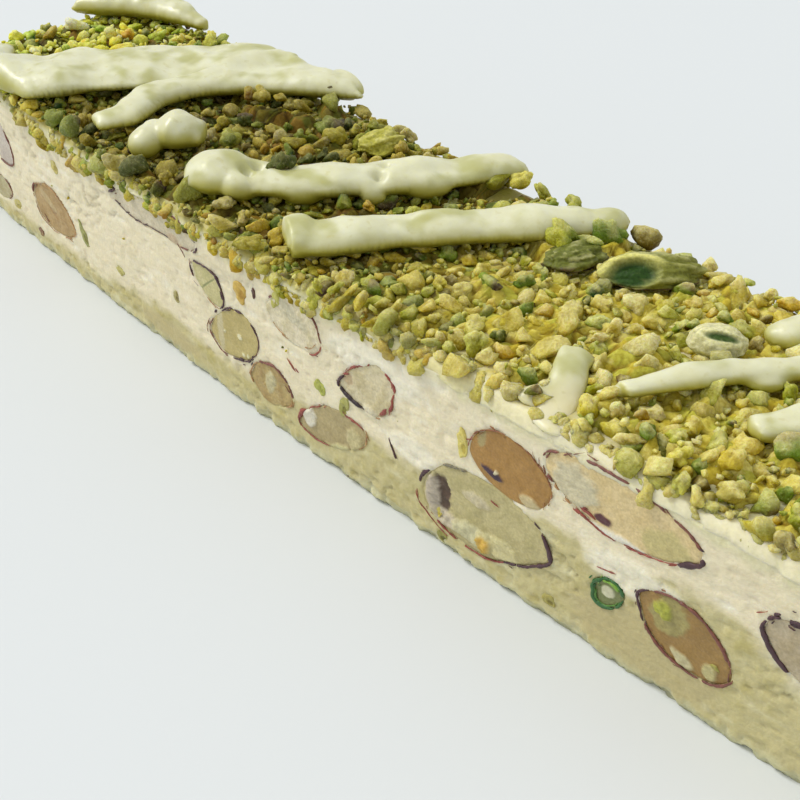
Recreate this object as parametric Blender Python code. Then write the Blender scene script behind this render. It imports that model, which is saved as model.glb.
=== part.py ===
"""Nougat bar: a pistachio nougat layer under a white one, with almonds cut through at its faces,
a pale green coat, a bed of chopped pistachios and a white chocolate drizzle on top.

+X runs along the bar, -Y is its front cut face, and Z = 0 is the flat base it lies on.
The origin is at the middle of the base. Lengths are metres.
"""

import math
import random

import bmesh
import bpy
from mathutils import Matrix, Vector

MM = 0.001

# Driving dimensions
BAR_LENGTH = 200 * MM
BAR_WIDTH = 40 * MM
NOUGAT_HEIGHT = 26.5 * MM
COAT_THICKNESS = 1.2 * MM
GAP = 0.3 * MM                      # clearance between neighbouring pieces

COAT_BASE = NOUGAT_HEIGHT + GAP
COAT_TOP = COAT_BASE + COAT_THICKNESS
CRUMB_BASE = COAT_TOP + GAP
CRUMB_LOW = 0.7 * MM                # depth of the chopped nuts under the drizzle
CRUMB_HIGH = 2.7 * MM               # tallest heap of them beside it
EDGE_INSET = 0.4 * MM               # how far the chopped nuts stop short of the bar's sides,
EDGE_RAGGED = 1.3 * MM              # how ragged that edge is,
EDGE_BARE = 1.6 * MM                # and how much more of the coat is bare on the near half
LUMP_SHIFT = 0.7 * MM               # how far a lump is off its place in the grid
DRIZZLE_BASE = CRUMB_BASE + CRUMB_LOW + GAP
DRIZZLE_THICKNESS = 3.1 * MM

BOW = 3.7 * MM                      # how far the ends stand back from the middle of the front
SWELL = 0.034                       # how much thicker the near half is, and thinner the far one
SWELL_LENGTH = 40 * MM              # the stretch over which that changes
HALF_LENGTH = BAR_LENGTH / 2
HALF_WIDTH = BAR_WIDTH / 2

COLUMN_STEP = 8 * MM                # grid of the nougat layers and the coat, along the bar
NOUGAT_ROWS = 5                     # and their rows across it
COAT_ROWS = 6
TRIM_CELLS = (20, 1)                # grid of the block that trims the drizzle
CRUMB_STEP = 4 * MM                 # grid of the chopped nuts: about the size of one piece
COAT_EDGE_STRAY = (-0.5, 0.1)       # how far the coat's long edges stray outwards, millimetres,
COAT_UNEVEN = 0.35                  # and how far its top sinks
HEAP_SLOPE = 4 * MM                 # the chopped nuts get lower this near to the bar's edges,
RIM_HEIGHT = 0.25                   # down to this share of their height
LOW_RANGE = (0.75, 1)               # how much the bed's depth varies, as shares of it,
HIGH_RANGE = (0.35, 1)              # and how much the heap on it does
COVER_REACH = 0.9 * CRUMB_STEP      # the bed stays low this far out from a ribbon or kernel
POCKET_OVERSHOOT = 1 * MM           # how far a pocket's cutter reaches out of the face
NUT_DEPTH = 0.42                    # a cut nut's depth behind the face, as a share of its height
NUT_POINT = 0.22                    # how much narrower a nut is at its pointed end
KERNEL_POINT = 0.1                  # and how much narrower a half pistachio is
NUT_SIDES = 8                       # a nut's sides around its long axis, and steps along it

# Height of the seam between the two nougat layers along the front: (x, z) in millimetres
SEAM = ((-100, 3.6), (-60, 4.2), (-38, 7.6), (-15, 6.2), (0, 9.4), (22, 10.2),
        (48, 13.6), (64, 17.0), (80, 12.6), (100, 12.0))
SEAM_WAVE = 1.3 * MM                # how much it wanders across the bar, and how fast
SEAM_WAVE_ACROSS = 9 * MM
SEAM_WAVE_ALONG = 17 * MM

# Almonds cut through at the faces: along the face, height, length, height of the almond, tilt.
# Millimetres and degrees, seen from outside with X (or Y at the ends) as the first axis.
FRONT_ALMONDS = (
    (-90.0, 6.6, 9.0, 5.6, 10), (-87.6, 17.6, 12.6, 9.2, -30), (-68.4, 10.4, 14.0, 7.4, -25),
    (-37.0, 21.4, 21.8, 7.2, -2), (-22.6, 17.8, 7.6, 5.4, -50), (-15.4, 11.4, 10.0, 11.2, 0),
    (-6.6, 7.3, 7.6, 7.2, -15), (5.1, 7.3, 13.2, 8.0, 10), (-2.1, 20.4, 10.8, 9.0, -18),
    (12.2, 17.1, 10.4, 8.6, 5), (33.0, 8.3, 21.0, 11.2, 2), (37.1, 19.2, 12.6, 8.4, -12),
    (53.0, 21.6, 20.8, 8.2, -2), (63.0, 10.8, 13.2, 9.0, -20), (78.2, 17.2, 14.0, 8.4, -14),
    (90.0, 7.6, 12.4, 7.6, 14),
)
BACK_ALMONDS = (
    (-86.0, 9.4, 15.0, 8.0, 12), (-66.0, 18.6, 13.0, 8.6, -20), (-50.0, 8.0, 19.0, 9.0, 4),
    (-29.0, 17.2, 10.0, 11.0, 0), (-13.0, 8.2, 13.6, 8.2, -14), (6.0, 18.0, 21.0, 8.0, 5),
    (24.0, 7.8, 11.0, 8.8, 25), (41.0, 17.0, 13.0, 8.0, -12), (59.0, 9.2, 17.6, 9.0, -6),
    (82.0, 16.0, 15.0, 9.0, 18),
)
NEAR_END_ALMONDS = ((-6.4, 17.4, 13.6, 8.0, 10), (8.2, 8.4, 12.0, 8.2, -25))
FAR_END_ALMONDS = ((6.0, 16.6, 15.0, 8.0, -8), (-8.0, 7.8, 11.0, 7.2, 20))
FRONT_PISTACHIOS = ((52.6, 10.5, 5.2, 5.0, 15),)

# Half pistachios that lie on the heap: x, y, length, width, heading in millimetres and degrees
TOP_PISTACHIOS = (
    (31.2, 10.8, 11.6, 6.4, 46), (22.4, 7.4, 7.6, 5.4, 70), (46.2, 4.2, 8.8, 5.2, 30),
    (-20.6, 12.6, 7.0, 6.0, 80),
)
KERNEL_THICKNESS = 2.7 * MM

# White chocolate drizzle: thin ribbons from the front edge to the back one.
# Each has its points (x, y) and its width at both ends, in millimetres.
DRIZZLE = {
    "drizzle_01": (((-103, 5), (-98, 10), (-93, 14.6), (-86, 18), (-78, 20.6)), (6.4, 6.0)),
    "drizzle_02": (((-83, -26), (-79.4, -18.6), (-74, -10), (-67.4, 0), (-62, 8), (-56.6, 14.6),
                    (-51.4, 20.2), (-46, 26)), (17.0, 12.0)),
    "drizzle_03": (((-46.2, -13), (-43, -9.6), (-40, -6.8)), (6.0, 5.0)),
    "drizzle_04": (((-31, -14.6), (-25.2, -10.8), (-18.2, -5.8), (-12.2, 1.4), (-6.4, 8.6),
                    (-2.4, 15.8), (1, 24)), (8.6, 6.0)),
    "drizzle_05": (((-7.4, -17.2), (-2.3, -12.8), (2.5, -5.2), (9.5, 3.4), (15.5, 10.6),
                    (20.6, 16.6)), (6.6, 5.6)),
    "drizzle_06": (((36.6, -9.6), (39.6, -14), (43, -23)), (4.6, 4.2)),
    "drizzle_07": (((45.4, -11.6), (48, -6.6), (51.6, -1), (57, 6), (63, 13), (72, 24)),
                   (4.2, 4.6)),
    "drizzle_08": (((50.8, 9.6), (53.4, 12.6), (56.6, 16.4), (61, 23)), (4.4, 4.4)),
    "drizzle_09": (((59.4, -7.6), (64, -1), (70, 7), (77, 15), (83, 24)), (5.4, 5.0)),
    "drizzle_10": (((73, -24), (79.6, -12), (86, -3), (92, 6), (102, 18)), (5.6, 5.2)),
}
BRANCH = (((-55, -16.6), (-53.8, -12), (-56.4, -6), (-56.4, 1), (-52, 9), (-46, 15.6), (-34, 25)),
          (4.2, 9.0))                # a ribbon that runs into drizzle_02
RIBBON_STEP = 4.4 * MM
RIBBON_SMOOTHNESS = 2               # bevel resolution of a ribbon's round section
WELD = 0.01 * MM                    # corners this near to each other are one


def settle(x, y, z):
    """Where a point of the straight, even bar comes to be: the real one lies in a slight curve
    and gets a little thicker towards the near end."""
    bow = BOW * ((x / HALF_LENGTH) ** 2 - 0.5)
    return Vector((x, y + bow, z * (1 + SWELL * math.tanh(x / SWELL_LENGTH))))


def seam_height(x, y):
    """Height of the seam between the layers, eased between its points and wavy across."""
    for (x0, z0), (x1, z1) in zip(SEAM, SEAM[1:]):
        if x <= x1 * MM or x1 == SEAM[-1][0]:
            share = min(max((x / MM - x0) / (x1 - x0), 0), 1)
            eased = (1 - math.cos(math.pi * share)) / 2
            wave = math.sin((y + HALF_WIDTH) / SEAM_WAVE_ACROSS) * math.sin(x / SEAM_WAVE_ALONG + 1)
            return (z0 + (z1 - z0) * eased) * MM + SEAM_WAVE * wave


def clear_scene():
    for thing in list(bpy.data.objects):
        bpy.data.objects.remove(thing, do_unlink=True)


def collection(name):
    group = bpy.data.collections.new(name)
    bpy.context.scene.collection.children.link(group)
    return group


def material(name, colour, roughness):
    made = bpy.data.materials.new(name)
    made.use_nodes = True
    shader = made.node_tree.nodes["Principled BSDF"]
    shader.inputs["Base Color"].default_value = (*colour, 1)
    shader.inputs["Roughness"].default_value = roughness
    shader.inputs["Metallic"].default_value = 0
    return made


def add_object(name, data, group, finish):
    thing = bpy.data.objects.new(name, data)
    group.objects.link(thing)
    data.materials.append(finish)
    return thing


def from_bmesh(name, mesh, group, finish):
    data = bpy.data.meshes.new(name)
    bmesh.ops.recalc_face_normals(mesh, faces=mesh.faces[:])
    mesh.to_mesh(data)
    mesh.free()
    return add_object(name, data, group, finish)


def slab(name, cells, place, floor, ceiling, group, finish):
    """Closed slab over a grid of cells: place(u, v) gives a point's x and y, floor and ceiling
    give its two heights there. A floor that lies on the table becomes one flat face."""
    mesh = bmesh.new()
    bmesh.ops.create_grid(mesh, x_segments=cells[0], y_segments=cells[1], size=0.5)
    lower_faces = mesh.faces[:]
    lower = mesh.verts[:]
    raised = bmesh.ops.extrude_face_region(mesh, geom=lower_faces)["geom"]
    upper = [item for item in raised if isinstance(item, bmesh.types.BMVert)]
    for points, height in ((lower, floor), (upper, ceiling)):
        for vert in points:
            x, y = place(vert.co.x + 0.5, vert.co.y + 0.5)
            vert.co = settle(x, y, height(x, y))
    if all(vert.co.z == 0 for vert in lower):
        bmesh.ops.dissolve_faces(mesh, faces=lower_faces, use_verts=True)
    return from_bmesh(name, mesh, group, finish)


def bar_plan(u, v):
    """The bar's own plan, for u along it and v across it, both from 0 to 1."""
    return (u - 0.5) * BAR_LENGTH, (v - 0.5) * BAR_WIDTH


def level(height):
    return lambda x, y: height


def add_nougat(group, finishes):
    cells = (round(BAR_LENGTH / COLUMN_STEP), NOUGAT_ROWS)
    lower = slab("nougat_pistachio", cells, bar_plan, level(0),
                 lambda x, y: seam_height(x, y) - GAP / 2, group, finishes["pistachio_nougat"])
    upper = slab("nougat_white", cells, bar_plan, lambda x, y: seam_height(x, y) + GAP / 2,
                 level(NOUGAT_HEIGHT), group, finishes["white_nougat"])
    return lower, upper


def add_coat(group, finish):
    """The coat is a little uneven on top and at its edges."""
    wander = random.Random(5)
    cells = (round(BAR_LENGTH / COLUMN_STEP), COAT_ROWS)

    def plan(u, v):
        x, y = bar_plan(u, v)
        if v in (0, 1):
            y += wander.uniform(*COAT_EDGE_STRAY) * MM * math.copysign(1, y)
        return x, y

    return slab("pistachio_coat", cells, plan, level(COAT_BASE),
                lambda x, y: COAT_TOP - wander.uniform(0, COAT_UNEVEN) * MM, group, finish)


def lens(length, height, depth, point):
    """Half an almond or kernel in a bmesh: cut flat at y = 0, domed to y = depth, long in X."""
    mesh = bmesh.new()
    turned = Matrix.Rotation(math.pi / 2, 4, "Y")
    bmesh.ops.create_uvsphere(mesh, u_segments=NUT_SIDES, v_segments=NUT_SIDES, radius=0.5,
                              matrix=turned)
    everything = mesh.verts[:] + mesh.edges[:] + mesh.faces[:]
    cut = bmesh.ops.bisect_plane(mesh, geom=everything, dist=1e-5, plane_co=(0, 0, 0),
                                 plane_no=(0, -1, 0), clear_outer=True)["geom_cut"]
    rim = [item for item in cut if isinstance(item, bmesh.types.BMEdge)]
    bmesh.ops.edgeloop_fill(mesh, edges=rim)
    for vert in mesh.verts:
        narrow = 1 - point * (vert.co.x + 0.5)
        vert.co = (vert.co.x * length, vert.co.y * 2 * depth * narrow, vert.co.z * height * narrow)
    return mesh


def stand_in_face(mesh, face, along, height, tilt):
    """Move a lens to its place in a face of the bar: front, back, near or far end."""
    lift = Matrix.Translation((along, 0, height)) @ Matrix.Rotation(-tilt, 4, "Y")
    turns = {"front": (0, Vector((0, -HALF_WIDTH, 0))), "back": (math.pi, Vector((0, HALF_WIDTH, 0))),
             "near": (math.pi / 2, Vector((HALF_LENGTH, 0, 0))),
             "far": (-math.pi / 2, Vector((-HALF_LENGTH, 0, 0)))}
    turn, corner = turns[face]
    spin = Matrix.Translation(corner) @ Matrix.Rotation(turn, 4, "Z")
    bmesh.ops.transform(mesh, matrix=spin @ lift, verts=mesh.verts[:])
    for vert in mesh.verts:
        vert.co = settle(*vert.co)


def add_nuts(kind, face, rows, group, cutters, finish):
    """Nuts cut flush with one face, and for each the larger lens that cuts its pocket."""
    side = {"front": 1, "back": -1, "near": 1, "far": -1}[face]
    for number, (along, height, length, tall, tilt) in enumerate(rows, 1):
        depth = NUT_DEPTH * min(tall, length) * MM
        place = (along * side * MM, height * MM, math.radians(tilt * side))
        nut = lens(length * MM, tall * MM, depth, NUT_POINT)
        stand_in_face(nut, face, *place)
        from_bmesh(f"{kind}_{face}_{number:02d}", nut, group, finish)

        pocket = lens(length * MM + 2 * GAP, tall * MM + 2 * GAP, depth + GAP, NUT_POINT)
        flat = max(pocket.faces, key=lambda f: len(f.verts))
        pulled = bmesh.ops.extrude_discrete_faces(pocket, faces=[flat])["faces"]
        bmesh.ops.translate(pocket, verts=pulled[0].verts[:], vec=(0, -POCKET_OVERSHOOT, 0))
        stand_in_face(pocket, face, *place)
        cutter = from_bmesh(f"{kind}_pocket_{face}_{number:02d}", pocket, cutters, finish)
        cutter.hide_render = True
        cutter.display_type = "WIRE"


def cut_pockets(layers, cutters):
    for layer in layers:
        cut = layer.modifiers.new("Pockets", "BOOLEAN")
        cut.operand_type = "COLLECTION"
        cut.collection = cutters
        cut.solver = "EXACT"


def boolean(thing, operation, other):
    """Join or trim a mesh object with another one."""
    change = thing.modifiers.new(operation.title(), "BOOLEAN")
    change.operation = operation
    change.object = other
    change.solver = "EXACT"


def smooth_path(points, step):
    """Points about one step apart on a smooth curve through the given ones."""
    ends = [2 * points[0] - points[1], *points, 2 * points[-1] - points[-2]]
    path = []
    for a, b, c, d in zip(ends, ends[1:], ends[2:], ends[3:]):
        count = max(1, round((c - b).length / step))
        for i in range(count):
            t = i / count
            path.append(0.5 * (2 * b + t * (c - a) + t * t * (2 * a - 5 * b + 4 * c - d)
                               + t ** 3 * (3 * b - a - 3 * c + d)))
    return path + [points[-1]]


def ribbon_path(points):
    return smooth_path([Vector((x * MM, y * MM, 0)) for x, y in points], RIBBON_STEP)


def add_ribbon(name, points, widths, group, finish):
    """A flattened round bead of chocolate along its path, with filled ends."""
    start, end = (width * MM / 2 for width in widths)
    flat = DRIZZLE_THICKNESS / 2 / max(start, end)
    path = ribbon_path(points)
    curve = bpy.data.curves.new(name, "CURVE")
    curve.dimensions = "3D"
    curve.twist_mode = "Z_UP"
    curve.bevel_depth = start
    curve.bevel_resolution = RIBBON_SMOOTHNESS
    curve.use_fill_caps = True
    spline = curve.splines.new("POLY")
    spline.points.add(len(path) - 1)
    for number, (knot, place) in enumerate(zip(spline.points, path)):
        x, y, z = settle(place.x, place.y, DRIZZLE_BASE + DRIZZLE_THICKNESS / 2)
        knot.co = (x, y, z / flat, 1)
        knot.radius = 1 + (end / start - 1) * number / (len(path) - 1)
    ribbon = add_object(name, curve, group, finish)
    ribbon.scale.z = flat
    return ribbon


def as_mesh(thing, group):
    """The curve as a closed mesh object with its caps welded."""
    bpy.context.view_layer.update()
    data = bpy.data.meshes.new_from_object(thing.evaluated_get(bpy.context.evaluated_depsgraph_get()))
    mesh = bmesh.new()
    mesh.from_mesh(data)
    bmesh.ops.remove_doubles(mesh, verts=mesh.verts[:], dist=WELD)
    mesh.to_mesh(data)
    mesh.free()
    name, place = thing.name, thing.matrix_world.copy()
    bpy.data.objects.remove(thing, do_unlink=True)
    made = bpy.data.objects.new(name, data)
    made.matrix_world = place
    group.objects.link(made)
    return made


def add_drizzle(group, cutters, finish):
    """The ribbons, cut off flush with the sides of the bar; one has a branch fused to it."""
    block = slab("trim_block", TRIM_CELLS, bar_plan, level(COAT_BASE), level(2 * NOUGAT_HEIGHT),
                 cutters, finish)
    branch = as_mesh(add_ribbon("branch", *BRANCH, cutters, finish), cutters)
    for guide in (block, branch):
        guide.hide_render = True
        guide.display_type = "WIRE"
    for name, (points, widths) in DRIZZLE.items():
        ribbon = as_mesh(add_ribbon(name, points, widths, group, finish), group)
        if name == "drizzle_02":
            boolean(ribbon, "UNION", branch)
        boolean(ribbon, "INTERSECT", block)


def covered(x, y):
    """Whether the heap must stay low at (x, y), because a ribbon or a kernel lies there."""
    for points, widths in (*DRIZZLE.values(), BRANCH):
        for place in ribbon_path(points):
            if math.hypot(x - place.x, y - place.y) < max(widths) * MM / 2 + COVER_REACH:
                return True
    for cx, cy, length, *_ in TOP_PISTACHIOS:
        if math.hypot(x - cx * MM, y - cy * MM) < length * MM / 2 + COVER_REACH:
            return True
    return False


def add_crumbs(group, finish):
    """The bed of chopped pistachios: lumps about one piece across, with a ragged outline."""
    lumps = random.Random(11)
    cells = (round(BAR_LENGTH / CRUMB_STEP), round(BAR_WIDTH / CRUMB_STEP))

    def plan(u, v):
        x, y = bar_plan(u, v)
        if v in (0, 1):
            edge = EDGE_INSET + lumps.uniform(0, EDGE_RAGGED)
            bare = EDGE_BARE * min(max(x / SWELL_LENGTH, 0), 1)
            return x, y - math.copysign(edge + bare, y)
        along = 0 if u in (0, 1) else lumps.uniform(-1, 1) * LUMP_SHIFT
        return x + along, y + lumps.uniform(-1, 1) * LUMP_SHIFT

    def top(x, y):
        rim = min(HALF_WIDTH - abs(y), HALF_LENGTH - abs(x)) / HEAP_SLOPE
        low = CRUMB_LOW * lumps.uniform(*LOW_RANGE)
        rise = (CRUMB_HIGH - CRUMB_LOW) * lumps.uniform(*HIGH_RANGE)
        high = low + rise * min(max(rim, RIM_HEIGHT), 1)
        return CRUMB_BASE + (low if covered(x, y) else high)

    slab("chopped_pistachios", cells, plan, level(CRUMB_BASE), top, group, finish)


def add_kernels(group, finish):
    """Half pistachios lying on the heap, domed side up."""
    for number, (x, y, length, width, heading) in enumerate(TOP_PISTACHIOS, 1):
        kernel = lens(length * MM, width * MM, KERNEL_THICKNESS, KERNEL_POINT)
        turn = Matrix.Rotation(math.radians(heading), 4, "Z") @ Matrix.Rotation(math.pi / 2, 4, "X")
        place = Matrix.Translation(settle(x * MM, y * MM, DRIZZLE_BASE))
        bmesh.ops.transform(kernel, matrix=place @ turn, verts=kernel.verts[:])
        from_bmesh(f"pistachio_top_{number:02d}", kernel, group, finish)


def build():
    clear_scene()
    parts = collection("nougat_bar")
    cutters = collection("cutters")
    finishes = {
        "pistachio_nougat": material("pistachio_nougat", (0.55, 0.50, 0.26), 0.6),
        "white_nougat": material("white_nougat", (0.76, 0.70, 0.55), 0.6),
        "almond": material("almond", (0.50, 0.38, 0.20), 0.5),
        "coat": material("coat", (0.66, 0.68, 0.38), 0.45),
        "pistachio": material("pistachio", (0.42, 0.44, 0.08), 0.55),
        "kernel": material("kernel", (0.16, 0.26, 0.04), 0.5),
        "white_chocolate": material("white_chocolate", (0.76, 0.78, 0.60), 0.35),
    }
    pockets = bpy.data.collections.new("pockets")
    cutters.children.link(pockets)
    layers = add_nougat(parts, finishes)
    for face, rows in (("front", FRONT_ALMONDS), ("back", BACK_ALMONDS),
                       ("near", NEAR_END_ALMONDS), ("far", FAR_END_ALMONDS)):
        add_nuts("almond", face, rows, parts, pockets, finishes["almond"])
    add_nuts("pistachio", "front", FRONT_PISTACHIOS, parts, pockets, finishes["kernel"])
    cut_pockets(layers, pockets)
    add_coat(parts, finishes["coat"])
    add_crumbs(parts, finishes["pistachio"])
    add_kernels(parts, finishes["kernel"])
    add_drizzle(parts, cutters, finishes["white_chocolate"])


build()
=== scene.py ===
"""Looks of the nougat bar: cut nougat with almonds, pale coat, chopped pistachios and drizzle."""

import itertools
import math

import bmesh
import bpy
import numpy as np
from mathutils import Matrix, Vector


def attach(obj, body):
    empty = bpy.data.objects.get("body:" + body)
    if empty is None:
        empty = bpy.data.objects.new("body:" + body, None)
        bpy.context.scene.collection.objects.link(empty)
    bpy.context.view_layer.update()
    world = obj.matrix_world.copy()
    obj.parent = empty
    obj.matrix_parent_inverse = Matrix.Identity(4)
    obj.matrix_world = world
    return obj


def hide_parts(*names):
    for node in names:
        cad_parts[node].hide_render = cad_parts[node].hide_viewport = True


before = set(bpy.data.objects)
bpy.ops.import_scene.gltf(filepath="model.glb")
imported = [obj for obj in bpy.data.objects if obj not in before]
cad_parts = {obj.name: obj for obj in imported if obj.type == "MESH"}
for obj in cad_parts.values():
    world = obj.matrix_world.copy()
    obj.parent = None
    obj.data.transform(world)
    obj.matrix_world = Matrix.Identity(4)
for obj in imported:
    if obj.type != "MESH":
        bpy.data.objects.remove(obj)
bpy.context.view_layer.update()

MM = 0.001
ROOT = "root"

# --------------------------------------------------------------------------- frame measures
# Shapes are worked out in millimetres in the straight, even bar: x along it, y across, z up, with
# its front face at y = -HALF_WIDTH. settle() then bows it and lets it swell, as the frame's nodes do.


def node_points(name):
    """Vertices of a CAD node, in millimetres."""
    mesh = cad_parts[name].data
    flat = np.empty(len(mesh.vertices) * 3)
    mesh.vertices.foreach_get("co", flat)
    return flat.reshape(-1, 3) / MM


def stations(points):
    """The distinct x among some points, and the points at each."""
    xs = np.unique(np.round(points[:, 0], 1))
    return xs, [points[np.abs(points[:, 0] - x) < 0.1] for x in xs]


BASE = node_points("nougat_pistachio")
STATION_X, ROWS = stations(BASE[np.abs(BASE[:, 2]) < 0.02])
FRONT_Y = np.array([row[:, 1].min() for row in ROWS])
BACK_Y = np.array([row[:, 1].max() for row in ROWS])
BOW = np.polyfit(STATION_X, (FRONT_Y + BACK_Y) / 2, 2)
HALF_WIDTH = float(np.mean(BACK_Y - FRONT_Y)) / 2
HALF_LENGTH = float(STATION_X[-1])
ROOF_X, ROWS = stations(node_points("nougat_white"))
KEPT = np.isin(ROOF_X, STATION_X)
ROOF_X = ROOF_X[KEPT]
ROOF_Z = np.array([row[:, 2].max() for row, kept in zip(ROWS, KEPT) if kept])
NOUGAT_HEIGHT = float(np.interp(0, ROOF_X, ROOF_Z))


def swell(x):
    """How much taller the bar is at x than in its middle."""
    return np.interp(x, ROOF_X, ROOF_Z) / NOUGAT_HEIGHT


def settle(points):
    """From the straight, even bar in millimetres to the real one in metres."""
    x, y, z = np.moveaxis(points, -1, 0)
    return np.stack([x, y + np.polyval(BOW, x), z * swell(x)], -1) * MM


def straighten(points):
    """From the real bar to the straight, even one, both in millimetres."""
    x, y, z = np.moveaxis(points, -1, 0)
    return np.stack([x, y - np.polyval(BOW, x), z / swell(x)], -1)


COAT = straighten(node_points("pistachio_coat"))
COAT_BASE = COAT[:, 2].min()
COAT_TOP = COAT[:, 2].max()
HEAP = straighten(node_points("chopped_pistachios"))


# how far the seam's height on a face may stray from the row behind it, millimetres
SEAM_STRAY = 1.7
BEHIND = 4                     # how deep in the bar that row lies at least, millimetres


def seam_line(side):
    """Where the two nougats meet on the front (-1) or back (1) face, as samples of x and z. A
    station where an almond crosses the seam is left out: its height strays from the row behind."""
    points = straighten(BASE)
    points = points[points[:, 2] > 1]
    depth = points[:, 1] * side
    inner = np.round(depth[(depth > 0) & (depth < HALF_WIDTH - BEHIND)], 1)
    rows, counts = np.unique(inner, return_counts=True)
    behind = points[np.abs(depth - rows[counts >= len(STATION_X)][-1]) < 0.1]
    edge = points[depth > HALF_WIDTH - 0.05]
    line = []
    for x in STATION_X:
        top = [row[np.abs(row[:, 0] - x) < 0.1][:, 2].max(initial=0) for row in (edge, behind)]
        if abs(top[0] - top[1]) < SEAM_STRAY:
            line.append((x, top[0]))
    return np.array(line).T


SEAM = {side: seam_line(side) for side in (-1, 1)}


def seam_height(x, y):
    """Height of the seam between the two nougats at (x, y)."""
    front, back = (np.interp(x, *SEAM[side]) for side in (-1, 1))
    return front + (back - front) * (y / HALF_WIDTH + 1) / 2

# --------------------------------------------------------------------------- noise


def lattice_hash(cells, seed):
    """A number from -1 to 1 for each whole-number cell."""
    x, y, z = (cells[..., i].astype(np.uint64) for i in range(3))
    mixed = x * np.uint64(73856093) ^ y * np.uint64(19349663) ^ z * np.uint64(83492791)
    mixed = (mixed ^ np.uint64((seed + 1) * 2654435761 % 2 ** 32)) * np.uint64(2246822519)
    mixed = (mixed ^ (mixed >> np.uint64(15))) * np.uint64(3266489917)
    mixed = (mixed ^ (mixed >> np.uint64(13))) & np.uint64(0xFFFFFF)
    return mixed.astype(float) / 0x7FFFFF - 1


def noise(points, size, seed=0):
    """Smooth noise from -1 to 1 with lumps of the given size (a number, or one for each axis)."""
    scaled = np.asarray(points, float) / np.asarray(size) + 1000.5
    cells = np.floor(scaled)
    t = scaled - cells
    t = t * t * t * (t * (6 * t - 15) + 10)
    total = 0
    for corner in itertools.product((0, 1), repeat=3):
        weight = np.prod(np.where(corner, t, 1 - t), -1)
        total = total + weight * lattice_hash(cells + corner, seed)
    return total


def layered(points, size, octaves=3, seed=0):
    """Noise with finer and finer lumps added."""
    total = 0
    for octave in range(octaves):
        total = total + noise(points, np.asarray(size) / 2 ** octave, seed + 10 * octave) / 2 ** octave
    return total / (2 - 2 ** (1 - octaves))


def cells(points, size, seed=0):
    """Distance to the nearest of a jittered lattice of centres, as a share of its spacing, and a
    number from 0 to 1 that belongs to that centre."""
    scaled = np.asarray(points, float) / size + 1000.5
    home = np.floor(scaled)
    nearest = np.full(home.shape[:-1], 9.0)
    mark = np.zeros(home.shape[:-1])
    for offset in itertools.product((-1, 0, 1), repeat=3):
        cell = home + offset
        jitter = np.stack([lattice_hash(cell, seed + axis) for axis in range(3)], -1)
        away = np.linalg.norm(cell + 0.5 + 0.42 * jitter - scaled, axis=-1)
        closer = away < nearest
        nearest = np.where(closer, away, nearest)
        mark = np.where(closer, lattice_hash(cell, seed + 3) / 2 + 0.5, mark)
    return nearest, mark


def step(low, high, value):
    """0 below low, 1 above high, smooth between."""
    t = np.clip((value - low) / (high - low), 0, 1)
    return t * t * (3 - 2 * t)


def bell(value, width):
    """1 where the value is 0, falling off to nothing beyond a width or two."""
    return np.exp(-(value / width) ** 2)

# --------------------------------------------------------------------------- colours and materials


def linear(colour):
    """sRGB colours from 0 to 255 as linear ones."""
    value = np.asarray(colour, float) / 255
    return np.where(value <= 0.04045, value / 12.92, ((value + 0.055) / 1.055) ** 2.4)


def mix(first, second, amount):
    """First where amount is 0, second where it is 1."""
    amount = np.asarray(amount)[..., None]
    return np.asarray(first) * (1 - amount) + np.asarray(second) * amount


CLEAR = (255, 255, 255)        # an sRGB colour that leaves what it multiplies as it is


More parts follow.
